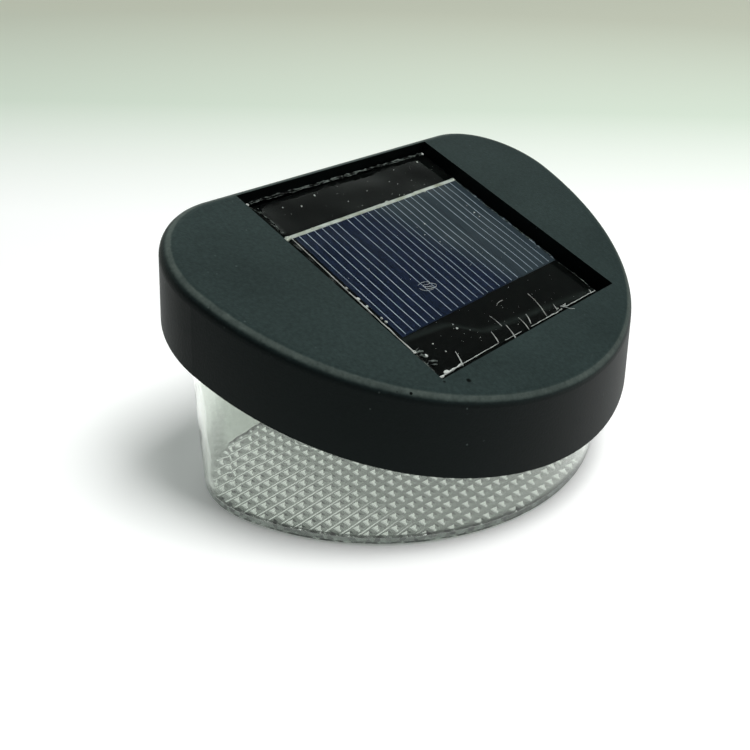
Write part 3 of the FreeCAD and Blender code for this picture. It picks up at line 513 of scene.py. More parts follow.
def add_clear_surface(tree, settings, shadow_tint):
    """A clear plastic. Light passes through it, so it casts only a faint tinted shadow."""
    rays = add_node(tree, "LightPath")
    clear = add_node(tree, "BsdfPrincipled", settings)
    open_air = add_node(tree, "BsdfTransparent", {"Color": linear(shadow_tint)})
    both = add_node(tree, "MixShader", {0: rays.outputs["Is Shadow Ray"], 1: clear.outputs[0],
                                        2: open_air.outputs[0]})
    add_node(tree, "OutputMaterial", {"Surface": both.outputs[0]})


# Cured epoxy: water-clear and glossy, a little hazier in patches of 8 mm.
clear_epoxy, tree, spot = new_finish("clear_epoxy_resin")
haze = add_node(tree, "TexNoise", {"Vector": spot, "Scale": 120.0, "Detail": 2.0})
gloss = add_node(tree, "MapRange", {"Value": haze.outputs["Fac"], "From Min": 0.4, "From Max": 0.8,
                                    "To Min": 0.005, "To Max": 0.02})
add_clear_surface(tree, {"Base Color": linear("f4f7f2"), "Roughness": gloss.outputs[0], "IOR": 1.5,
                         "Transmission Weight": 1.0}, "eef2ee")

bpy.ops.object.select_all(action="DESELECT")
bpy.ops.mesh.primitive_grid_add(
    x_subdivisions=RESIN_FACES_ACROSS, y_subdivisions=RESIN_FACES_ALONG, size=1,
    location=((RESIN_LEFT + RESIN_RIGHT) / 2, (RESIN_FRONT + RESIN_BACK) / 2, RESIN_TOP))
resin = bpy.context.object
resin.scale = (RESIN_RIGHT - RESIN_LEFT, RESIN_BACK - RESIN_FRONT, 1)
settle("resin_flood")
swell = bpy.data.textures.new("swell", "CLOUDS")
swell.noise_scale = 17.0
swell.noise_depth = 1
wavy = resin.modifiers.new("wavy", "DISPLACE")
wavy.texture = swell
wavy.texture_coords = "LOCAL"
wavy.direction = "Z"
wavy.strength = 0.5
bpy.ops.object.modifier_apply(modifier=wavy.name)
bpy.ops.object.mode_set(mode="EDIT")
bpy.ops.mesh.select_all(action="SELECT")
bpy.ops.mesh.region_to_loop()
bpy.ops.transform.vertex_random(offset=0.28, seed=4)
bpy.ops.mesh.select_mode(type="FACE")
bpy.ops.mesh.select_all(action="SELECT")
bpy.ops.mesh.extrude_region_move(
    TRANSFORM_OT_translate={"value": (0, 0, BOARD_TOP - 0.1 - RESIN_TOP)})
bpy.ops.transform.resize(value=(1, 1, 0), center_override=(0, 0, BOARD_TOP - 0.1))
bpy.ops.mesh.select_all(action="SELECT")
bpy.ops.mesh.normals_make_consistent(inside=False)
bpy.ops.object.mode_set(mode="OBJECT")
bpy.ops.object.shade_smooth_by_angle(angle=SOFT_EDGE)
lay([resin], "resin_flood", clear_epoxy, ASKEW)
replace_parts(resin, "panel_resin")


def add_bead(path, wrinkle, seed):
    """A thin uneven thread of resin along points given as across, along, out and radius."""
    thread = bpy.data.curves.new("thread", "CURVE")
    thread.dimensions = "3D"
    thread.bevel_depth = 1.0
    thread.bevel_resolution = 1
    thread.resolution_u = 2
    thread.use_fill_caps = True
    line = thread.splines.new("NURBS")
    line.points.add(len(path) - 1)
    for point, (x, along, out, radius) in zip(line.points, path):
        point.co = (x, along, out, 1)
        point.radius = radius
    line.order_u = 3
    line.use_endpoint_u = True
    bead = bpy.data.objects.new("thread", thread)
    scene.collection.objects.link(bead)
    pick(bead)
    bpy.ops.object.convert(target="MESH")
    bpy.ops.object.mode_set(mode="EDIT")
    bpy.ops.mesh.select_all(action="SELECT")
    bpy.ops.mesh.remove_doubles(threshold=0.001)
    bpy.ops.transform.vertex_random(offset=wrinkle, seed=seed)
    bpy.ops.mesh.normals_make_consistent(inside=False)
    bpy.ops.object.mode_set(mode="OBJECT")
    bpy.ops.object.shade_smooth()
    return bpy.context.object


def uneven_path(start, end, out, radius, sway, step=1.0):
    """Points every millimetre or so between two places, straying to the sides and in girth."""
    length = math.dist(start, end)
    count = max(2, round(length / step))
    path = []
    for place in range(count + 1):
        share = place / count
        path.append((start[0] + (end[0] - start[0]) * share + random.uniform(-sway, sway),
                     start[1] + (end[1] - start[1]) * share + random.uniform(-sway, sway),
                     out + random.uniform(-0.3, 0.3) * radius, radius * random.uniform(0.5, 1.5)))
    return path


# The skin is the same epoxy, thin and clouded every 1.4 mm by bubbles; its pale patches are also painted
# white glints.
wrinkled_skin, tree, spot = new_finish("wrinkled_resin_skin")
cloudy = add_node(tree, "TexNoise", {"Vector": spot, "Scale": 700.0, "Detail": 3.0})
# Pale patches: clouding by bubbles, and painted glints.
bubbles_and_glints = add_node(tree, "MapRange", {"Value": cloudy.outputs["Fac"], "From Min": 0.42, "From Max": 0.62})
skin = add_node(tree, "Mix", {0: bubbles_and_glints.outputs[0], 6: linear("080a09"), 7: linear("6a736e")},
                data_type="RGBA")
face = add_node(tree, "BsdfPrincipled", {"Base Color": skin.outputs[2], "Roughness": 0.16, "IOR": 1.5,
                                         "Coat Weight": 0.6, "Coat Roughness": 0.05})
add_node(tree, "OutputMaterial", {"Surface": face.outputs[0]})

skins = [add_bead(uneven_path((-26.4, -4.4), (29.2, -5.2), -2.75, 0.15, 0.22, 0.7), 0.12, 1),
         add_bead(uneven_path((-26.0, -4.8), (6.0, -5.3), -2.85, 0.1, 0.2, 0.8), 0.08, 2),
         add_bead(uneven_path((-8.0, -4.6), (29.0, -5.6), -2.85, 0.09, 0.18, 0.8), 0.08, 3),
         add_bead(uneven_path((-27.2, -5.2), (-27.5, -14.5), -2.85, 0.08, 0.08), 0.05, 4),
         add_bead([(-26.8, -5.8, -2.8, 0.06), (-26.2, -8.0, -2.7, 0.1), (-25.7, -11.0, -2.7, 0.15),
                   (-25.8, -13.5, -2.7, 0.12), (-26.6, -15.9, -2.7, 0.08)], 0.04, 5),
         add_bead(uneven_path((-27.4, -17.8), (-27.8, -61.0), -2.75, 0.1, 0.06), 0.05, 6),
         add_bead(uneven_path((-26.6, -55.0), (-27.0, -61.6), -2.78, 0.12, 0.12, 0.7), 0.08, 9),
         add_bead(uneven_path((28.6, -17.0), (27.8, -61.0), -2.9, 0.07, 0.06, 1.6), 0.03, 10)]
for place in range(14):
    start = (random.uniform(-27.2, -25.4), random.uniform(-60.4, -53.6))
    end = (start[0] + random.uniform(0.2, 1.8), start[1] + random.uniform(-1.2, 0.6))
    skins.append(add_bead(uneven_path(start, end, -2.7, 0.14, 0.16, 0.5), 0.08, 20 + place))
lay(skins, "resin_skin", wrinkled_skin, ROOF)

# Crazed epoxy is full of fine cracks, so it is white, broken up every 0.7 mm.
crazed_epoxy, tree, spot = new_finish("crazed_resin")
_, white = cloud(tree, spot, 1400.0, 2.0, "7f8883", "eef3ee")
face = add_node(tree, "BsdfPrincipled", {"Base Color": white, "Roughness": 0.3})
add_node(tree, "OutputMaterial", {"Surface": face.outputs[0]})

# The crazes in front of the strips run along three points each. The scribble is a scratch in the
# resin over the strips, in its own right and down. A thread along the front wall is given by its
# start, end, radius, sway, step and wrinkle, and a drop by its place and size.
CRAZES = (((-18.8, -58.8), (-19.3, -60.4), (-20.4, -62.2)), ((-7.2, -58.7), (-7.6, -60.4), (-8.3, -61.6)),
          ((-2.5, -59.0), (-2.8, -60.8), (-3.7, -62.5)), ((2.1, -58.8), (2.1, -60.6), (1.3, -62.4)),
          ((4.6, -59.0), (4.2, -60.3), (3.2, -61.4)), ((10.7, -54.8), (10.9, -57.6), (8.7, -61.7)),
          ((13.5, -60.0), (13.2, -60.9), (12.7, -61.7)), ((26.5, -61.0), (26.2, -61.6), (26.0, -62.1)),
          ((0.3, -54.0), (1.6, -53.2), (3.3, -53.4)), ((-3.6, -55.3), (-3.3, -57.0), (-3.6, -58.7)))
SCRIBBLES = (((-0.9, -0.2), (-0.6, -0.8), (0.2, -0.9), (0.3, -0.4), (-0.5, -0.2), (-0.2, 0.2), (0.6, -0.1)),
             ((0.3, -0.6), (0.9, -0.5), (1.0, 0.1), (0.4, 0.5), (-0.3, 0.3), (0.1, -0.1), (0.8, 0.3)),
             ((-0.7, 0.4), (-0.3, 0.8), (0.3, 0.8), (0.7, 0.5)))
SCRIBBLE_X = -9.3
SCRIBBLE_ALONG = -42.3
SCRIBBLE_RIGHT = (2.12, -1.02)
SCRIBBLE_DOWN = (-1.49, -1.14)
CRAZE_WIDTHS = (0.15, 0.1, 0.1, 0.07, 0.09, 0.07, 0.09, 0.08, 0.04, 0.04)
CRAZE_GIRTHS = (0.5, 0.8, 1.3)
FRONT_THREADS = (((-27.2, -62.1), (-20.6, -61.9), 0.2, 0.08, 0.8, 0.08),
                 ((-20.6, -61.9), (-8.5, -61.8), 0.07, 0.06, 1.0, 0.04),
                 ((-6.5, -61.9), (-1.0, -62.0), 0.06, 0.06, 1.0, 0.04),
                 ((2.5, -62.1), (14.0, -62.1), 0.08, 0.07, 1.0, 0.05),
                 ((15.5, -62.0), (27.6, -62.0), 0.07, 0.08, 0.8, 0.05))
WALL_DROPS = ((-25.8, -34.9, 0.5), (-25.9, -38.4, 0.75), (-25.8, -40.9, 0.55), (-25.6, -44.8, 0.5),
              (-25.5, -46.0, 0.6), (-26.6, -54.8, 0.8), (-25.2, -56.7, 0.7), (-26.8, -5.0, 0.7),
              (29.0, -5.5, 0.7))
crazes = [add_bead(uneven_path((-25.4, -17.8), (-26.1, -36.0), -2.82, 0.08, 0.03), 0.02, 7),
          add_bead(uneven_path((-26.1, -36.0), (-26.6, -55.0), -2.78, 0.11, 0.06), 0.05, 8)]
for place, (path, width) in enumerate(zip(CRAZES, CRAZE_WIDTHS)):
    crazes.append(add_bead([(x, along, RESIN_TOP + 0.02, width * girth) for (x, along), girth in
                            zip(path, CRAZE_GIRTHS)], 0.04, 40 + place))
for place, (start, end, radius, sway, step, wrinkle) in enumerate(FRONT_THREADS):
    crazes.append(add_bead(uneven_path(start, end, -2.75, radius, sway, step), wrinkle, 60 + place))
crazes.append(add_blob(-24.9, -61.8, -2.65, (1.5, 0.9, 0.3), 65))
crazes.append(add_blob(-26.6, -62.2, -2.65, (1.1, 0.6, 0.3), 66))
for place in range(9):
    middle = (14.6 + random.uniform(-1.8, 1.8), -61.6 + random.uniform(-0.35, 0.35))
    far_end = (middle[0] + random.uniform(-0.9, 0.9), middle[1] + random.uniform(-0.4, 0.4))
    crazes.append(add_bead(uneven_path(middle, far_end, -2.7, 0.08, 0.12, 0.4), 0.05, 70 + place))
for place, scribble in enumerate(SCRIBBLES):
    path = [(SCRIBBLE_X + SCRIBBLE_RIGHT[0] * right + SCRIBBLE_DOWN[0] * down,
             SCRIBBLE_ALONG + SCRIBBLE_RIGHT[1] * right + SCRIBBLE_DOWN[1] * down, -2.76, 0.032)
            for right, down in scribble]
    crazes.append(add_bead(path, 0.015, 80 + place))
for place, (x, along, size) in enumerate(WALL_DROPS):
    crazes.append(add_blob(x, along, -2.7, (size, size * 1.2, 0.35), 100 + place))
lay(crazes, "crazed_lines", crazed_epoxy, ROOF)

# House dust and crumbs of resin, from 0.07 to 0.55 mm. Less of it shows on the strips. The larger
# ones are given across, along and by their size.
CRUMBS = 150
DUST = ((-10.3, -8.1, 0.45), (-15.8, -10.0, 0.4), (3.0, -11.6, 0.32), (-4.3, -12.9, 0.25), (-20.1, -8.7, 0.3),
        (11.2, -11.0, 0.25), (12.6, -12.5, 0.25), (24.8, -7.6, 0.4), (16.0, -7.8, 0.3), (7.1, -26.6, 0.45),
        (4.0, -29.5, 0.22), (5.5, -32.9, 0.22), (-13.2, -54.4, 0.55), (-13.1, -53.2, 0.3),
        (-21.3, -55.0, 0.4), (-20.5, -57.8, 0.35), (22.8, -28.7, 0.3), (22.8, -30.4, 0.25))
bpy.ops.object.select_all(action="DESELECT")
bpy.ops.mesh.primitive_ico_sphere_add(subdivisions=1, radius=0.5)
crumb = bpy.context.object
bpy.ops.object.mode_set(mode="EDIT")
bpy.ops.transform.vertex_random(offset=0.14, seed=11)
bpy.ops.object.mode_set(mode="OBJECT")
places = list(DUST)
while len(places) < CRUMBS:
    x, along = random.uniform(-26.0, 27.5), random.uniform(-61.0, -6.5)
    if -51 < along < -17 and random.random() < 0.6:
        continue
    places.append((x, along, 0.07 + 0.14 * random.random() ** 3))
crumbs = []
for x, along, size in places:
    grain = crumb.copy()
    grain.data = crumb.data.copy()
    grain.location = (x, along, RESIN_TOP)
    grain.scale = (size, size * random.uniform(0.6, 1.5), size * 0.5)
    grain.rotation_euler.z = random.uniform(0, math.pi)
    scene.collection.objects.link(grain)
    crumbs.append(grain)
bpy.data.objects.remove(crumb)
lay(crumbs, "resin_dust", crazed_epoxy, ROOF)

# A pale textile fibre has settled on the roof in front of the panel.
fibre = add_bead([(11.0, -62.9, 0.02, 0.03), (11.6, -64.0, 0.09, 0.05), (12.4, -64.6, 0.06, 0.05),
                  (13.1, -64.8, 0.03, 0.03)], 0.005, 120)
lay([fibre], "settled_fibre", crazed_epoxy, ROOF)


# ---- Base plate and battery cover ---------------------------------------------------------
# A flat moulding of dull black ABS closes the cap from below and carries the battery bay. The
# lid of the bay is of the same plastic. Both show faint flow marks, about 11 mm across and longer
# from side to side, and a fine matt grain, drawn 0.3 mm coarse.
inner_abs, tree, spot = new_finish("moulded_inner_abs")
drawn_out = add_node(tree, "Mapping", {"Vector": spot, "Scale": (0.35, 1.0, 1.0)})
flow = add_node(tree, "TexNoise", {"Vector": drawn_out.outputs[0], "Scale": 90.0, "Detail": 4.0,
                                   "Distortion": 1.2})
abs_shade = add_node(tree, "Mix", {0: flow.outputs["Fac"], 6: linear("111415"), 7: linear("1f2425")},
                     data_type="RGBA")
sheen_spots = add_node(tree, "MapRange", {"Value": flow.outputs["Fac"], "To Min": 0.38, "To Max": 0.58})
grain = add_node(tree, "TexNoise", {"Vector": spot, "Scale": 3000.0, "Detail": 2.0})
bump = add_node(tree, "Bump", {"Height": grain.outputs["Fac"], "Strength": 0.3, "Distance": 0.00004})
face = add_node(tree, "BsdfPrincipled", {"Base Color": abs_shade.outputs[2],
                                         "Roughness": sheen_spots.outputs[0], "Specular IOR Level": 0.35,
                                         "Normal": bump.outputs[0]})
add_node(tree, "OutputMaterial", {"Surface": face.outputs[0]})
for name in ("base_plate", "battery_cover"):
    dress(name, inner_abs)


# ---- Screws -------------------------------------------------------------------------------
# Self-tapping pan-head screws of zinc-plated steel, with a cross recess: four hold the plate in
# the cap's bosses and two smaller ones hold the battery cover. Modelled in millimetres, head down.
HEAD_DEPTH = 1.5
THREAD_STEP = 0.4
THREAD_ROOT = 0.78
TIP_TAPER = 0.1
FACING = 0.9

# Zinc plate: a cool bright grey with clouds of a millimetre and a touch of rust in the pores.
zinc_plate, tree, spot = new_finish("zinc_plated_steel")
clouds, zinc = cloud(tree, spot, 900.0, 4.0, "8f9499", "c9cdd0")
rust = add_node(tree, "TexNoise", {"Vector": spot, "Scale": 2200.0, "Detail": 3.0})
pores = add_node(tree, "MapRange", {"Value": rust.outputs["Fac"], "From Min": 0.66, "From Max": 0.74,
                                    "To Max": 0.7})
aged = add_node(tree, "Mix", {0: pores.outputs[0], 6: zinc, 7: linear("6b4a34")}, data_type="RGBA")
dull = add_node(tree, "MapRange", {"Value": clouds, "To Min": 0.2, "To Max": 0.42})
face = add_node(tree, "BsdfPrincipled", {"Base Color": aged.outputs[2], "Metallic": 1.0,
                                         "Roughness": dull.outputs[0]})
add_node(tree, "OutputMaterial", {"Surface": face.outputs[0]})


def combine(piece, other, operation):
    """Joins, cuts or crosses a piece with another, which is then gone."""
    pick(piece)
    step = piece.modifiers.new("combine", "BOOLEAN")
    step.object = other
    step.operation = operation
    step.solver = "EXACT"
    step.material_mode = "TRANSFER"
    bpy.ops.object.modifier_apply(modifier=step.name)
    bpy.data.objects.remove(other)


def pick_faces(piece, wanted):
    """Selects the faces of a piece that pass a test."""
    for face in piece.data.polygons:
        face.select = wanted(face)


def pull_out(distance, growth):
    """Extrudes the selected faces upwards, and scales them about the upright axis."""
    bpy.ops.mesh.extrude_region_move(TRANSFORM_OT_translate={"value": (0, 0, distance)})
    bpy.ops.transform.resize(value=(growth, growth, 1), center_override=(0, 0, 0))


def add_screw(head_radius, radius, length):
    """A screw standing on its head at the origin, its shank cut with a tapering thread."""
    bpy.ops.object.select_all(action="DESELECT")
    bpy.ops.mesh.primitive_cylinder_add(vertices=32, radius=head_radius, depth=HEAD_DEPTH,
                                        location=(0, 0, HEAD_DEPTH / 2))
    screw = bpy.context.object
    bpy.ops.object.transform_apply(location=True)
    pick_faces(screw, lambda face: face.normal.z < -FACING)
    bpy.ops.object.mode_set(mode="EDIT")
    bpy.ops.mesh.select_mode(type="FACE")
    bpy.ops.mesh.bevel(offset=0.34 * head_radius, segments=4, affect="EDGES", clamp_overlap=True)
    bpy.ops.mesh.select_all(action="DESELECT")
    bpy.ops.object.mode_set(mode="OBJECT")
    pick_faces(screw, lambda face: face.normal.z > FACING)
    bpy.ops.object.mode_set(mode="EDIT")
    bpy.ops.mesh.inset(thickness=head_radius - radius)
    for _ in range(int(length / THREAD_STEP) - 2):
        pull_out(THREAD_STEP / 2, THREAD_ROOT)
        pull_out(THREAD_STEP / 2, 1 / THREAD_ROOT)
    pull_out(2 * THREAD_STEP, TIP_TAPER)
    bpy.ops.mesh.select_all(action="SELECT")
    bpy.ops.mesh.normals_make_consistent(inside=False)
    bpy.ops.object.mode_set(mode="OBJECT")
    slots = []
    for wide, deep in ((1.3, 0.3), (0.3, 1.3)):
        bpy.ops.object.select_all(action="DESELECT")
        bpy.ops.mesh.primitive_cube_add(
            size=1, location=(0, 0, 0),
            scale=(wide * head_radius * 0.9, deep * head_radius * 0.9, HEAD_DEPTH))
        bpy.ops.object.transform_apply(location=True, rotation=False, scale=True)
        slots.append(bpy.context.object)
    for slot in slots:
        pick_faces(slot, lambda face: face.normal.z > FACING)
        pick(slot)
        bpy.ops.object.mode_set(mode="EDIT")
        bpy.ops.mesh.select_mode(type="FACE")
        bpy.ops.transform.resize(value=(0.45, 0.45, 1), center_override=(0, 0, 0))
        bpy.ops.object.mode_set(mode="OBJECT")
        combine(screw, slot, "DIFFERENCE")
    pick(screw)
    bpy.ops.object.shade_smooth_by_angle(angle=math.radians(35))
    return screw


def spans(name, keep, place):
    """The lowest and highest of a CAD node's points that pass a test, in millimetres in a frame."""
    back = place.inverted()
    points = [back @ vertex.co for vertex in NODES[name].data.vertices if keep(vertex.co)]
    return ([min(point[axis] for point in points) for axis in range(3)],
            [max(point[axis] for point in points) for axis in range(3)])


def drive_screws(pattern, node, quarters, place, name):
    """Copies a screw to the places of a CAD node's screws, each left at its own turn."""
    screws = []
    for side, depth, turn in quarters:
        low, high = spans(node, lambda spot: spot.x * side > 0 and (spot.y - PLATE_MIDDLE) * depth >= 0,
                          place)
        screw = pattern.copy()
        screw.data = pattern.data.copy()
        screw.matrix_world = (Matrix.Translation(((low[0] + high[0]) / 2, (low[1] + high[1]) / 2,
                                                  low[2])) @ Matrix.Rotation(turn, 4, "Z"))
        scene.collection.objects.link(screw)
        screws.append(screw)
    bpy.data.objects.remove(pattern)
    bpy.context.view_layer.update()
    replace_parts(lay(screws, name, zinc_plate, place), node)


# Each screw is found by its side of the middle and, where there are two rows, by its row.
PLATE_MIDDLE = 0.0075
UPRIGHT = Matrix.Scale(0.001, 4)
drive_screws(add_screw(2.2, 1.1, 7.4), "base_plate_screws",
             ((-1, 1, 0.3), (1, 1, -0.5), (-1, -1, 0.9), (1, -1, 0.1)), ROOF, "plate_pan_screws")
drive_screws(add_screw(1.9, 0.95, 7.4), "battery_cover_screws",
             ((-1, 0, 0.7), (1, 0, 0.2)), UPRIGHT, "cover_pan_screws")


# ---- Battery and its contacts -------------------------------------------------------------
# One rechargeable AA cell in a shrunk PVC sleeve lies across the bay, pressed by a coil spring
# against two nickel-plated contacts. The sleeve is green, with a plain darker band at the plus end.
SLEEVE_START = -0.0226
SLEEVE_END = 0.0252
BAND_START = 0.0185

# Shrunk PVC: glossy, with wrinkles of 2 mm. The can's bare steel shows past its two ends.
battery_sleeve, tree, spot = new_finish("shrunk_pvc_sleeve")
places = add_node(tree, "SeparateXYZ", {"Vector": spot})
after_start = add_node(tree, "Math", {0: places.outputs["X"], 1: SLEEVE_START}, operation="GREATER_THAN")
before_end = add_node(tree, "Math", {0: places.outputs["X"], 1: SLEEVE_END}, operation="LESS_THAN")
covered = add_node(tree, "Math", {0: after_start.outputs[0], 1: before_end.outputs[0]},
                   operation="MULTIPLY")
in_band = add_node(tree, "Math", {0: places.outputs["X"], 1: BAND_START}, operation="GREATER_THAN")
_, green = cloud(tree, spot, 250.0, 3.0, "256b3c", "37874e")
banded = add_node(tree, "Mix", {0: in_band.outputs[0], 6: green, 7: linear("123322")}, data_type="RGBA")
cell_face = add_node(tree, "Mix", {0: covered.outputs[0], 6: linear("c4c6c4"), 7: banded.outputs[2]},
                     data_type="RGBA")
bare = add_node(tree, "Math", {0: 1.0, 1: covered.outputs[0]}, operation="SUBTRACT")
wrinkles = add_node(tree, "TexNoise", {"Vector": spot, "Scale": 500.0, "Detail": 2.0})
bump = add_node(tree, "Bump", {"Height": wrinkles.outputs["Fac"], "Strength": 0.2, "Distance": 0.0001})
face = add_node(tree, "BsdfPrincipled", {"Base Color": cell_face.outputs[2], "Metallic": bare.outputs[0],
                                         "Roughness": 0.24, "Normal": bump.outputs[0]})
add_node(tree, "OutputMaterial", {"Surface": face.outputs[0]})
dress("battery_cell", battery_sleeve)

# Nickel plate: warm and bright, with scratches 0.3 mm wide and drawn out upwards.
nickel_plate, tree, spot = new_finish("nickel_plated_spring_steel")
drawn_out = add_node(tree, "Mapping", {"Vector": spot, "Scale": (1.0, 1.0, 0.08)})
brushing, nickel = cloud(tree, drawn_out.outputs[0], 3500.0, 3.0, "a8a396", "d6d1c4")
polish = add_node(tree, "MapRange", {"Value": brushing, "To Min": 0.18, "To Max": 0.36})
face = add_node(tree, "BsdfPrincipled", {"Base Color": nickel, "Metallic": 1.0,
                                         "Roughness": polish.outputs[0]})
add_node(tree, "OutputMaterial", {"Surface": face.outputs[0]})
for name in ("battery_spring", "plus_contact", "minus_contact"):
    dress(name, nickel_plate)


# ---- Lamp circuit -------------------------------------------------------------------------
# A small glass-epoxy board under the panel's tub, with a boost chip under a blob of black epoxy
# and an axial coil. Its copper shows as lighter lines through the green solder mask.
TRACE_SPACING = 0.0021

# Green solder mask: glossy, with the copper a paler green under it and bare tinned pads of 1 mm.
green_mask, tree, spot = new_finish("green_solder_mask")
tracks = add_node(tree, "TexBrick", {"Vector": spot, "Color1": linear("164b2c"), "Color2": linear("1b5733"),
                                     "Mortar": linear("3c8a4f"), "Scale": 1.0, "Mortar Size": 0.0002,
                                     "Mortar Smooth": 0.1, "Brick Width": 3.5 * TRACE_SPACING,
                                     "Row Height": TRACE_SPACING}, offset=0.37)
pads = add_node(tree, "TexVoronoi", {"Vector": spot, "Scale": 330.0, "Randomness": 0.55})
is_pad = add_node(tree, "MapRange", {"Value": pads.outputs["Distance"], "From Min": 0.2, "From Max": 0.17})
tinned = add_node(tree, "Mix", {0: is_pad.outputs[0], 6: tracks.outputs["Color"], 7: linear("c3c6c1")},
                  data_type="RGBA")
bump = add_node(tree, "Bump", {"Height": tracks.outputs["Fac"], "Strength": 0.4, "Distance": 0.00004})
face = add_node(tree, "BsdfPrincipled", {"Base Color": tinned.outputs[2], "Metallic": is_pad.outputs[0],
                                         "Roughness": 0.34, "Normal": bump.outputs[0]})
add_node(tree, "OutputMaterial", {"Surface": face.outputs[0]})
dress("circuit_board", green_mask)

# Moulded epoxy: black, matt and slightly pitted, every 0.25 mm.
chip_epoxy, tree, spot = new_finish("moulded_chip_epoxy")
pitting, epoxy = cloud(tree, spot, 4000.0, 3.0, "0e0f10", "222425")
bump = add_node(tree, "Bump", {"Height": pitting, "Strength": 0.4, "Distance": 0.00003})
face = add_node(tree, "BsdfPrincipled", {"Base Color": epoxy, "Roughness": 0.6, "Normal": bump.outputs[0]})
add_node(tree, "OutputMaterial", {"Surface": face.outputs[0]})
dress("controller_chip", chip_epoxy)

# The coil's barrel is dipped in glossy green lacquer and ringed with the usual colour code.
BAND_HALF = 0.00019
COIL_BANDS = ((0.0108, "7a4a26"), (0.0116, "16181a"), (0.0124, "a8281e"), (0.0134, "b89a3a"))
dipped_lacquer, tree, spot = new_finish("dipped_lacquer")
places = add_node(tree, "SeparateXYZ", {"Vector": spot})
_, colour = cloud(tree, spot, 800.0, 2.0, "3f7d62", "5c9c7c")
for middle, code in COIL_BANDS:
    away = add_node(tree, "Math", {0: places.outputs["X"], 1: middle}, operation="SUBTRACT")
    apart = add_node(tree, "Math", {0: away.outputs[0]}, operation="ABSOLUTE")
    on_band = add_node(tree, "Math", {0: apart.outputs[0], 1: BAND_HALF}, operation="LESS_THAN")
    ringed = add_node(tree, "Mix", {0: on_band.outputs[0], 6: colour, 7: linear(code)}, data_type="RGBA")
    colour = ringed.outputs[2]
face = add_node(tree, "BsdfPrincipled", {"Base Color": colour, "Roughness": 0.3, "Coat Weight": 0.5,
                                         "Coat Roughness": 0.1})
add_node(tree, "OutputMaterial", {"Surface": face.outputs[0]})
dress("inductor", dipped_lacquer)


# ---- Lamps --------------------------------------------------------------------------------
# Two 5 mm LEDs shine down into the cup. Each is a moulded bullet of water-clear epoxy round its
# lead frame: an anvil with a dished tip that holds the chip, and a thinner post beside it.
LED_LENGTH = 7.6
ANVIL_OFFSET = 0.6

# Water-clear epoxy: a smooth lens with a faint milkiness.
led_epoxy, tree, spot = new_finish("water_clear_epoxy")
_, water = cloud(tree, spot, 600.0, 2.0, "dfe7e6", "f6faf8")
add_clear_surface(tree, {"Base Color": water, "Roughness": 0.06, "IOR": 1.53,
                         "Transmission Weight": 0.92}, "d6dedb")
for name in ("led_left", "led_right"):
    dress(name, led_epoxy)

frames = []
for name in ("led_left", "led_right"):
    low, high = spans(name, lambda spot: True, ROOF)
    middle, along = (low[0] + high[0]) / 2, (low[1] + high[1]) / 2
    top = low[2] + LED_LENGTH
    frames.append(add_block(middle + 0.9, middle + 1.5, along - 0.25, along + 0.25, top - 4.0,
                            top - 0.2, 0.08))
    bpy.ops.object.select_all(action="DESELECT")
    bpy.ops.mesh.primitive_cylinder_add(vertices=20, radius=1.05, depth=4.1,
                                        location=(middle - ANVIL_OFFSET, along, top - 2.25))
    anvil = bpy.context.object
    bpy.ops.object.transform_apply(location=True)
    pick_faces(anvil, lambda face: face.normal.z < -FACING)
    bpy.ops.object.mode_set(mode="EDIT")
    bpy.ops.mesh.select_mode(type="FACE")
    bpy.ops.mesh.inset(thickness=0.2)
    bpy.ops.mesh.extrude_region_move(TRANSFORM_OT_translate={"value": (0, 0, 0.5)})
    bpy.ops.transform.resize(value=(0.5, 0.5, 1), center_override=(middle - ANVIL_OFFSET, along, 0))
    bpy.ops.mesh.select_all(action="DESELECT")
    bpy.ops.object.mode_set(mode="OBJECT")
    pick_faces(anvil, lambda face: face.normal.z > FACING and face.center.z > top - 1.0)
    bpy.ops.object.mode_set(mode="EDIT")
    bpy.ops.transform.resize(value=(0.4, 0.3, 1), center_override=(middle - 0.9, along, 0))
    bpy.ops.object.mode_set(mode="OBJECT")
    frames.append(anvil)
lay(frames, "lead_frames", nickel_plate, ROOF)


# ---- Slide switch -------------------------------------------------------------------------
# A small slide switch reaches down through the plate. Its folded steel can is tin-plated, and
# its knob is moulded in black ABS with a ribbed grip.
RIB_PITCH = 0.0004
WAVE_AT_SCALE_ONE = 0.314

# Tin plate: a dull cool grey with rolling marks 0.3 mm wide that run from side to side.
tin_plate, tree, spot = new_finish("tin_plated_steel_can")
drawn_out = add_node(tree, "Mapping", {"Vector": spot, "Scale": (0.06, 1.0, 1.0)})
rolled, can = cloud(tree, drawn_out.outputs[0], 3000.0, 3.0, "8c9092", "bcc0c1")
dull = add_node(tree, "MapRange", {"Value": rolled, "To Min": 0.24, "To Max": 0.44})
face = add_node(tree, "BsdfPrincipled", {"Base Color": can, "Metallic": 1.0, "Roughness": dull.outputs[0]})
add_node(tree, "OutputMaterial", {"Surface": face.outputs[0]})
dress("switch_housing", tin_plate)

# Black ABS, moulded smooth: a soft gloss over ribs 0.4 mm apart.
knob_abs, tree, spot = new_finish("ribbed_knob_abs")
ribs = add_node(tree, "TexWave", {"Vector": spot, "Scale": WAVE_AT_SCALE_ONE / RIB_PITCH},
                wave_type="BANDS", bands_direction="X")
knob_shade = add_node(tree, "Mix", {0: ribs.outputs["Fac"], 6: linear("0b0c0d"), 7: linear("1d2022")},
                      data_type="RGBA")
bump = add_node(tree, "Bump", {"Height": ribs.outputs["Fac"], "Strength": 0.6, "Distance": 0.00015})
face = add_node(tree, "BsdfPrincipled", {"Base Color": knob_shade.outputs[2], "Roughness": 0.42,
                                         "Normal": bump.outputs[0]})
add_node(tree, "OutputMaterial", {"Surface": face.outputs[0]})
dress("switch_knob", knob_abs)


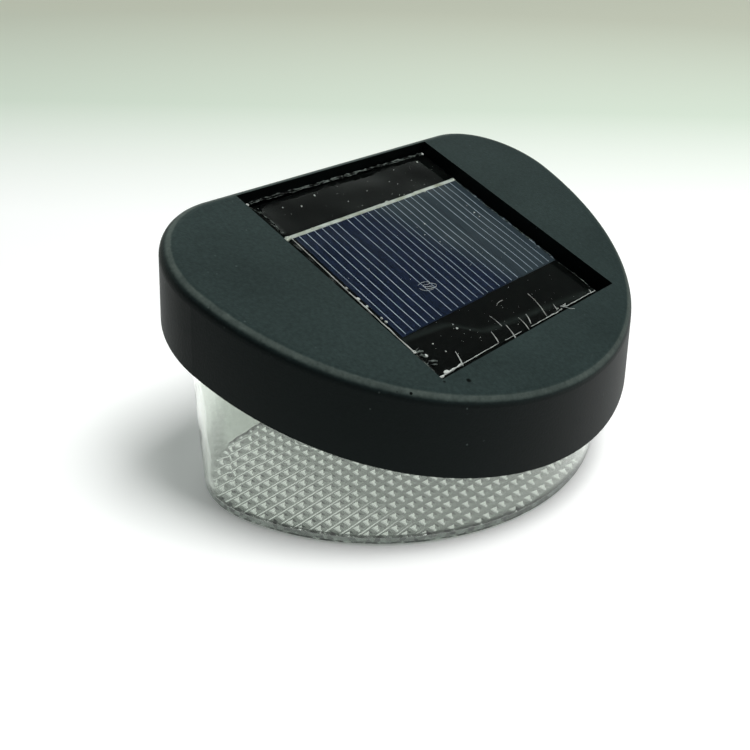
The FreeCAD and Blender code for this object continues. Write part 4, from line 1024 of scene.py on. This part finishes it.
# ---- Wires --------------------------------------------------------------------------------
# Stranded wires in extruded PVC join the panel, the battery, the switch and the circuit. The
# PVC has a soft gloss and faint draw lines, and the strands just show through as a lay.
WIRES = (("red", "7d1512", "a92620", ("panel_wire_red", "battery_wire_red")),
         ("black", "0c0d0e", "202325", ("panel_wire_black", "battery_wire_black")),
         ("grey", "75797b", "95999b", ("switch_leads",)))
for hue, deep, bright, nodes in WIRES:
    pvc, tree, spot = new_finish("extruded_pvc_" + hue)
    strands = add_node(tree, "TexWave", {"Vector": spot, "Scale": 450.0, "Distortion": 2.0},
                       wave_type="BANDS", bands_direction="DIAGONAL")
    _, jacket = cloud(tree, spot, 700.0, 2.0, deep, bright)
    bump = add_node(tree, "Bump", {"Height": strands.outputs["Fac"], "Strength": 0.15, "Distance": 0.00005})
    face = add_node(tree, "BsdfPrincipled", {"Base Color": jacket, "Roughness": 0.36,
                                             "Normal": bump.outputs[0]})
    add_node(tree, "OutputMaterial", {"Surface": face.outputs[0]})
    for name in nodes:
        dress(name, pvc)


# ---- Clear cup ----------------------------------------------------------------------------
# The cup is moulded in clear polystyrene, 1.5 mm thick. Its floor is covered with small
# four-sided pyramids that spread the lamps' light. They are part of the same moulding, and
# their facets are a little duller than the polished walls.
PYRAMID_PITCH = 0.002679
PYRAMID_SIDE = 0.00195
PYRAMID_RISE = 0.0008
LATTICE_X = -0.000196
LATTICE_Y = 0.000734
CUP_FLOOR = 0.0012
ACROSS = 43
DEEP = 29
FACET_LIT = linear("ffffff")
FACET_FOOT = linear("8c948d")
FACET_FRONT = linear("6a716b")
FACET_BACK = linear("454b46")
FACET_SHADED = linear("0c0e0d")
FACET_CAP_REFLECTION = linear("060807")
SHADED_GROUND = linear("535954")

# Polystyrene is clear with a faint grey-green cast. On the side of the front left, the foot of the
# wall carries a painted reflection of the pyramids in dark and pale specks of 1 mm. The corner at the
# left end carries painted reflections: grey low down and clear above, as the real wall looks where it
# is seen along its length.
ECHO_ENDS = 0.0024
ECHO_FULL = 0.0020
FENCEWARDS = (0.45, 1.0, 0.0)
FRONT_STARTS = -0.006
FRONT_FULL = -0.014
END_STARTS = -0.0495
END_FULL = -0.0515
LEFTWARDS = (-0.674, 0.739, 0.0)
CORNER_STARTS = 0.0500
CORNER_FULL = 0.0520
CORNER_GREY = 0.004
CORNER_CLEAR = 0.016

clear_styrene, tree, spot = new_finish("clear_polystyrene")
places = add_node(tree, "SeparateXYZ", {"Vector": spot})
low = add_node(tree, "MapRange", {"Value": places.outputs["Z"], "From Min": ECHO_ENDS,
                                  "From Max": ECHO_FULL})
fenceward = add_node(tree, "VectorMath", {0: spot, 1: FENCEWARDS}, operation="DOT_PRODUCT")
near_side = add_node(tree, "MapRange", {"Value": fenceward.outputs["Value"], "From Min": FRONT_STARTS,
                                        "From Max": FRONT_FULL})
near_end = add_node(tree, "MapRange", {"Value": places.outputs["X"], "From Min": END_STARTS,
                                       "From Max": END_FULL})
near_wall = add_node(tree, "Math", {0: near_side.outputs[0], 1: near_end.outputs[0]}, operation="MAXIMUM")
low_front = add_node(tree, "Math", {0: low.outputs[0], 1: near_wall.outputs[0]}, operation="MULTIPLY")
# Painted reflection: dark and pale specks standing for the pyramids seen through the wall's foot.
echo_cells = add_node(tree, "TexVoronoi", {"Vector": spot, "Scale": 900.0})
facet_pick = add_node(tree, "SeparateColor", {"Color": echo_cells.outputs["Color"]})
painted_echo = add_node(tree, "Mix", {0: facet_pick.outputs["Red"], 6: linear("0a0c0b"), 7: linear("3c443e")},
                data_type="RGBA")
# Painted reflection: the left corner is grey low down and near white above.
leftward = add_node(tree, "VectorMath", {0: spot, 1: LEFTWARDS}, operation="DOT_PRODUCT")
left_tip = add_node(tree, "MapRange", {"Value": leftward.outputs["Value"], "From Min": CORNER_STARTS,
                                       "From Max": CORNER_FULL})
rise = add_node(tree, "MapRange", {"Value": places.outputs["Z"], "From Min": CORNER_GREY,
                                   "From Max": CORNER_CLEAR})
painted_corner_tone = add_node(tree, "Mix", {0: rise.outputs[0], 6: linear("6a716a"), 7: linear("fafcf9")},
                    data_type="RGBA")
clear = add_node(tree, "Mix", {0: left_tip.outputs[0], 6: linear("c2c8c1"), 7: painted_corner_tone.outputs[2]},
                 data_type="RGBA")
wall = add_node(tree, "Mix", {0: low_front.outputs[0], 6: clear.outputs[2], 7: painted_echo.outputs[2]},
                data_type="RGBA")
add_clear_surface(tree, {"Base Color": wall.outputs[2], "Roughness": 0.02, "IOR": 1.59,
                         "Transmission Weight": 1.0}, "bcc4bc")

# The pressed floor is seen against the board below it, so its tints set what shows, and they are
# painted light and shade: painted lit facets on the left, painted shaded ones on the right, duller
# ones fore and aft with a painted reflection of the black cap as a dark sliver at the tip and a
# painted glint beside it, and a painted shaded grey ground between. At the left end the ground
# between the rows carries painted bright lines. Places on a pyramid are shares of the pitch, counted
# from its middle.
SIDE_ENDS = 0.372
SIDE_FULL = 0.356
CREASE = 0.008
RIDGE_STARTS = -0.14
RIDGE_FULL = -0.09
TIP_ENDS = 0.27
TIP_FULL = 0.2
GLINT_MIDDLE = 0.27
GLINT_ENDS = 0.055
GLINT_FULL = 0.03
FOOT_ENDS = 0.24
FOOT_FULL = 0.36
GAP_STARTS = 0.425
GAP_FULL = 0.465
ROWS_START = -0.028
ROWS_FULL = -0.036

pressed_styrene, tree, spot = new_finish("pressed_polystyrene")
places = add_node(tree, "SeparateXYZ", {"Vector": spot})
steps = []
for axis, start in (("X", LATTICE_X), ("Y", LATTICE_Y)):
    count = add_node(tree, "MapRange", {"Value": places.outputs[axis], "From Min": start,
                                        "From Max": start + PYRAMID_PITCH, "To Min": 0.5, "To Max": 1.5},
                     clamp=False)
    share = add_node(tree, "Math", {0: count.outputs[0]}, operation="FRACT")
    step = add_node(tree, "Math", {0: share.outputs[0], 1: 0.5}, operation="SUBTRACT")
    size = add_node(tree, "Math", {0: step.outputs[0]}, operation="ABSOLUTE")
    steps.append((step.outputs[0], size.outputs[0]))
(across, across_size), (along, along_size) = steps
lean = add_node(tree, "Math", {0: across_size, 1: along_size}, operation="SUBTRACT")
sideways = add_node(tree, "MapRange", {"Value": lean.outputs[0], "From Min": -CREASE, "From Max": CREASE})
edge = add_node(tree, "Math", {0: across_size, 1: along_size}, operation="MAXIMUM")
on_pyramid = add_node(tree, "MapRange", {"Value": edge.outputs[0], "From Min": SIDE_ENDS,
                                         "From Max": SIDE_FULL})
to_left = add_node(tree, "Math", {0: across, 1: 0.0}, operation="LESS_THAN")
to_right = add_node(tree, "Math", {0: 1.0, 1: to_left.outputs[0]}, operation="SUBTRACT")
to_front = add_node(tree, "Math", {0: along, 1: 0.0}, operation="LESS_THAN")
near_ridge = add_node(tree, "MapRange", {"Value": lean.outputs[0], "From Min": RIDGE_STARTS,
                                         "From Max": RIDGE_FULL})
front_ridge = add_node(tree, "Math", {0: near_ridge.outputs[0], 1: to_front.outputs[0]},
                       operation="MULTIPLY")
near_tip = add_node(tree, "MapRange", {"Value": along_size, "From Min": TIP_ENDS, "From Max": TIP_FULL})
right_ridge = add_node(tree, "Math", {0: front_ridge.outputs[0], 1: to_right.outputs[0]},
                       operation="MULTIPLY")
# Painted reflection of the black cap: a dark sliver at the tip.
painted_sliver = add_node(tree, "Math", {0: right_ridge.outputs[0], 1: near_tip.outputs[0]}, operation="MULTIPLY")
outer = add_node(tree, "Math", {0: along_size, 1: GLINT_MIDDLE}, operation="SUBTRACT")
outer_size = add_node(tree, "Math", {0: outer.outputs[0]}, operation="ABSOLUTE")
ring = add_node(tree, "MapRange", {"Value": outer_size.outputs[0], "From Min": GLINT_ENDS,
                                   "From Max": GLINT_FULL})
left_ridge = add_node(tree, "Math", {0: front_ridge.outputs[0], 1: to_left.outputs[0]},
                      operation="MULTIPLY")
# Painted glint near the tip of the left fore facets.
painted_glint = add_node(tree, "Math", {0: left_ridge.outputs[0], 1: ring.outputs[0]}, operation="MULTIPLY")
# Painted light and shade: each facet tone stands for how lit it looks.
fore_aft = add_node(tree, "Mix", {0: to_front.outputs[0], 6: FACET_BACK, 7: FACET_FRONT}, data_type="RGBA")
fore = add_node(tree, "Mix", {0: painted_sliver.outputs[0], 6: fore_aft.outputs[2], 7: FACET_CAP_REFLECTION}, data_type="RGBA")
fore_lit = add_node(tree, "Mix", {0: painted_glint.outputs[0], 6: fore.outputs[2], 7: FACET_LIT}, data_type="RGBA")
up_facet = add_node(tree, "MapRange", {"Value": across_size, "From Min": FOOT_FULL, "From Max": FOOT_ENDS})
pale_side = add_node(tree, "Mix", {0: up_facet.outputs[0], 6: FACET_FOOT, 7: FACET_LIT}, data_type="RGBA")
dark_side = add_node(tree, "Mix", {0: up_facet.outputs[0], 6: FACET_BACK, 7: FACET_SHADED}, data_type="RGBA")
side_facets = add_node(tree, "Mix", {0: to_left.outputs[0], 6: dark_side.outputs[2],
                                     7: pale_side.outputs[2]}, data_type="RGBA")
facets = add_node(tree, "Mix", {0: sideways.outputs[0], 6: fore_lit.outputs[2], 7: side_facets.outputs[2]},
                  data_type="RGBA")
# Painted shade: the grey ground between the pyramids.
tone = add_node(tree, "Mix", {0: on_pyramid.outputs[0], 6: SHADED_GROUND, 7: facets.outputs[2]}, data_type="RGBA")
row_gap = add_node(tree, "MapRange", {"Value": along_size, "From Min": GAP_STARTS, "From Max": GAP_FULL})
left_end = add_node(tree, "MapRange", {"Value": places.outputs["X"], "From Min": ROWS_START,
                                       "From Max": ROWS_FULL})
# Painted highlight: bright lines between the rows at the left end.
painted_bright_rows = add_node(tree, "Math", {0: row_gap.outputs[0], 1: left_end.outputs[0]}, operation="MULTIPLY")
lined = add_node(tree, "Mix", {0: painted_bright_rows.outputs[0], 6: tone.outputs[2], 7: FACET_LIT},
                 data_type="RGBA")
add_clear_surface(tree, {"Base Color": lined.outputs[2], "Roughness": 0.05, "IOR": 1.05,
                         "Transmission Weight": 1.0, "Coat Weight": 0.12, "Coat Roughness": 0.08,
                         "Coat IOR": 1.5}, "dfe6e1")

# The foot is the same clear moulding, polished. Its underside is plain. The edge that turns up
# from it carries a painted reflection of the pyramids as dark and grey specks of 1 mm.
EDGE_STARTS = 0.00005
EDGE_FULL = 0.0003

foot_styrene, tree, spot = new_finish("polished_foot")
places = add_node(tree, "SeparateXYZ", {"Vector": spot})
up_edge = add_node(tree, "MapRange", {"Value": places.outputs["Z"], "From Min": EDGE_STARTS,
                                      "From Max": EDGE_FULL})
specks = add_node(tree, "TexNoise", {"Vector": spot, "Scale": 900.0, "Detail": 2.0})
# Painted reflection: dark and grey specks standing for the pyramids, on the upturned edge.
painted_specks = add_node(tree, "MapRange", {"Value": specks.outputs["Fac"], "From Min": 0.5, "From Max": 0.62})
edge_tone = add_node(tree, "Mix", {0: painted_specks.outputs[0], 6: linear("0a0c0b"), 7: linear("4c534d")},
                     data_type="RGBA")
foot = add_node(tree, "Mix", {0: up_edge.outputs[0], 6: linear("f4f8f4"), 7: edge_tone.outputs[2]},
                data_type="RGBA")
add_clear_surface(tree, {"Base Color": foot.outputs[2], "Roughness": 0.03, "IOR": 1.05,
                         "Transmission Weight": 1.0, "Coat Weight": 0.2, "Coat Roughness": 0.05,
                         "Coat IOR": 1.5}, "dfe6e1")

# The cup's own solid is copied, and its loose triangles are welded into one shell.
WELD = 0.000001
cup = bpy.data.objects.new("clear_cup", NODES["lens_cup"].data.copy())
scene.collection.objects.link(cup)
cup.data.materials.clear()
cup.data.materials.append(clear_styrene)
pick(cup)
bpy.ops.object.mode_set(mode="EDIT")
bpy.ops.mesh.select_all(action="SELECT")
bpy.ops.mesh.remove_doubles(threshold=WELD)
bpy.ops.mesh.select_all(action="DESELECT")
bpy.ops.object.mode_set(mode="OBJECT")

# The flat of the floor is copied off and drawn up into a prism that trims the field of pyramids.
FLAT = 0.99
FLOOR_TOLERANCE = 0.00002
PRISM_DROP = 0.0006
PRISM_HEIGHT = 0.003
pick_faces(cup, lambda face: (face.normal.z > FLAT
                              and abs(face.center.z - CUP_FLOOR) < FLOOR_TOLERANCE))
bpy.ops.object.mode_set(mode="EDIT")
bpy.ops.mesh.duplicate()
bpy.ops.mesh.separate(type="SELECTED")
bpy.ops.object.mode_set(mode="OBJECT")
prism = [piece for piece in bpy.context.selected_objects if piece is not cup][0]
pick(prism)
bpy.ops.object.mode_set(mode="EDIT")
bpy.ops.mesh.select_all(action="SELECT")
bpy.ops.transform.resize(value=(0.996, 0.994, 1.0), center_override=(0.0, -0.003, CUP_FLOOR))
bpy.ops.transform.translate(value=(0, 0, -PRISM_DROP))
bpy.ops.mesh.extrude_region_move(TRANSFORM_OT_translate={"value": (0, 0, PRISM_HEIGHT)})
bpy.ops.mesh.select_all(action="SELECT")
bpy.ops.mesh.normals_make_consistent(inside=False)
bpy.ops.object.mode_set(mode="OBJECT")

# The field is a grid of square cells. Each is inset to a pyramid's side and poked up to its tip.
FIELD_LIFT = 0.00002
FIELD_DEPTH = 0.0004
bpy.ops.object.select_all(action="DESELECT")
bpy.ops.mesh.primitive_grid_add(x_subdivisions=ACROSS, y_subdivisions=DEEP, size=1.0)
field = bpy.context.object
field.scale = (ACROSS * PYRAMID_PITCH, DEEP * PYRAMID_PITCH, 1.0)
field.location = (LATTICE_X, LATTICE_Y, CUP_FLOOR + FIELD_LIFT)
field = settle("pyramid_field")
bpy.ops.object.mode_set(mode="EDIT")
bpy.ops.mesh.select_all(action="SELECT")
bpy.ops.mesh.extrude_region_move(TRANSFORM_OT_translate={"value": (0, 0, -FIELD_DEPTH)})
bpy.ops.mesh.select_all(action="SELECT")
bpy.ops.mesh.normals_make_consistent(inside=False)
bpy.ops.mesh.select_all(action="DESELECT")
bpy.ops.object.mode_set(mode="OBJECT")
pick_faces(field, lambda face: face.normal.z > FACING)
bpy.ops.object.mode_set(mode="EDIT")
bpy.ops.mesh.select_mode(type="FACE")
bpy.ops.mesh.inset(thickness=(PYRAMID_PITCH - PYRAMID_SIDE) / 2, use_individual=True)
bpy.ops.mesh.poke(offset=PYRAMID_RISE)
bpy.ops.object.mode_set(mode="OBJECT")
field.data.materials.append(pressed_styrene)

# Trimmed to the floor's outline, the field becomes one shell with the cup.
FOOT_TOP = CUP_FLOOR - 0.0001
PRESSED_TOP = CUP_FLOOR + 0.0007
combine(field, prism, "INTERSECT")
combine(cup, field, "UNION")
pick(cup)
bpy.ops.object.shade_smooth_by_angle(angle=math.radians(25))
cup.data.materials.append(foot_styrene)
for face in cup.data.polygons:
    if face.center.z < FOOT_TOP:
        face.material_index = cup.data.materials.find(foot_styrene.name)
    elif face.center.z < PRESSED_TOP:
        face.material_index = cup.data.materials.find(pressed_styrene.name)
even = cup.modifiers.new("even", "WEIGHTED_NORMAL")
even.keep_sharp = True
even.weight = 100
bpy.ops.object.modifier_apply(modifier=even.name)
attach(cup, "cup")
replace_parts(cup, "lens_cup")
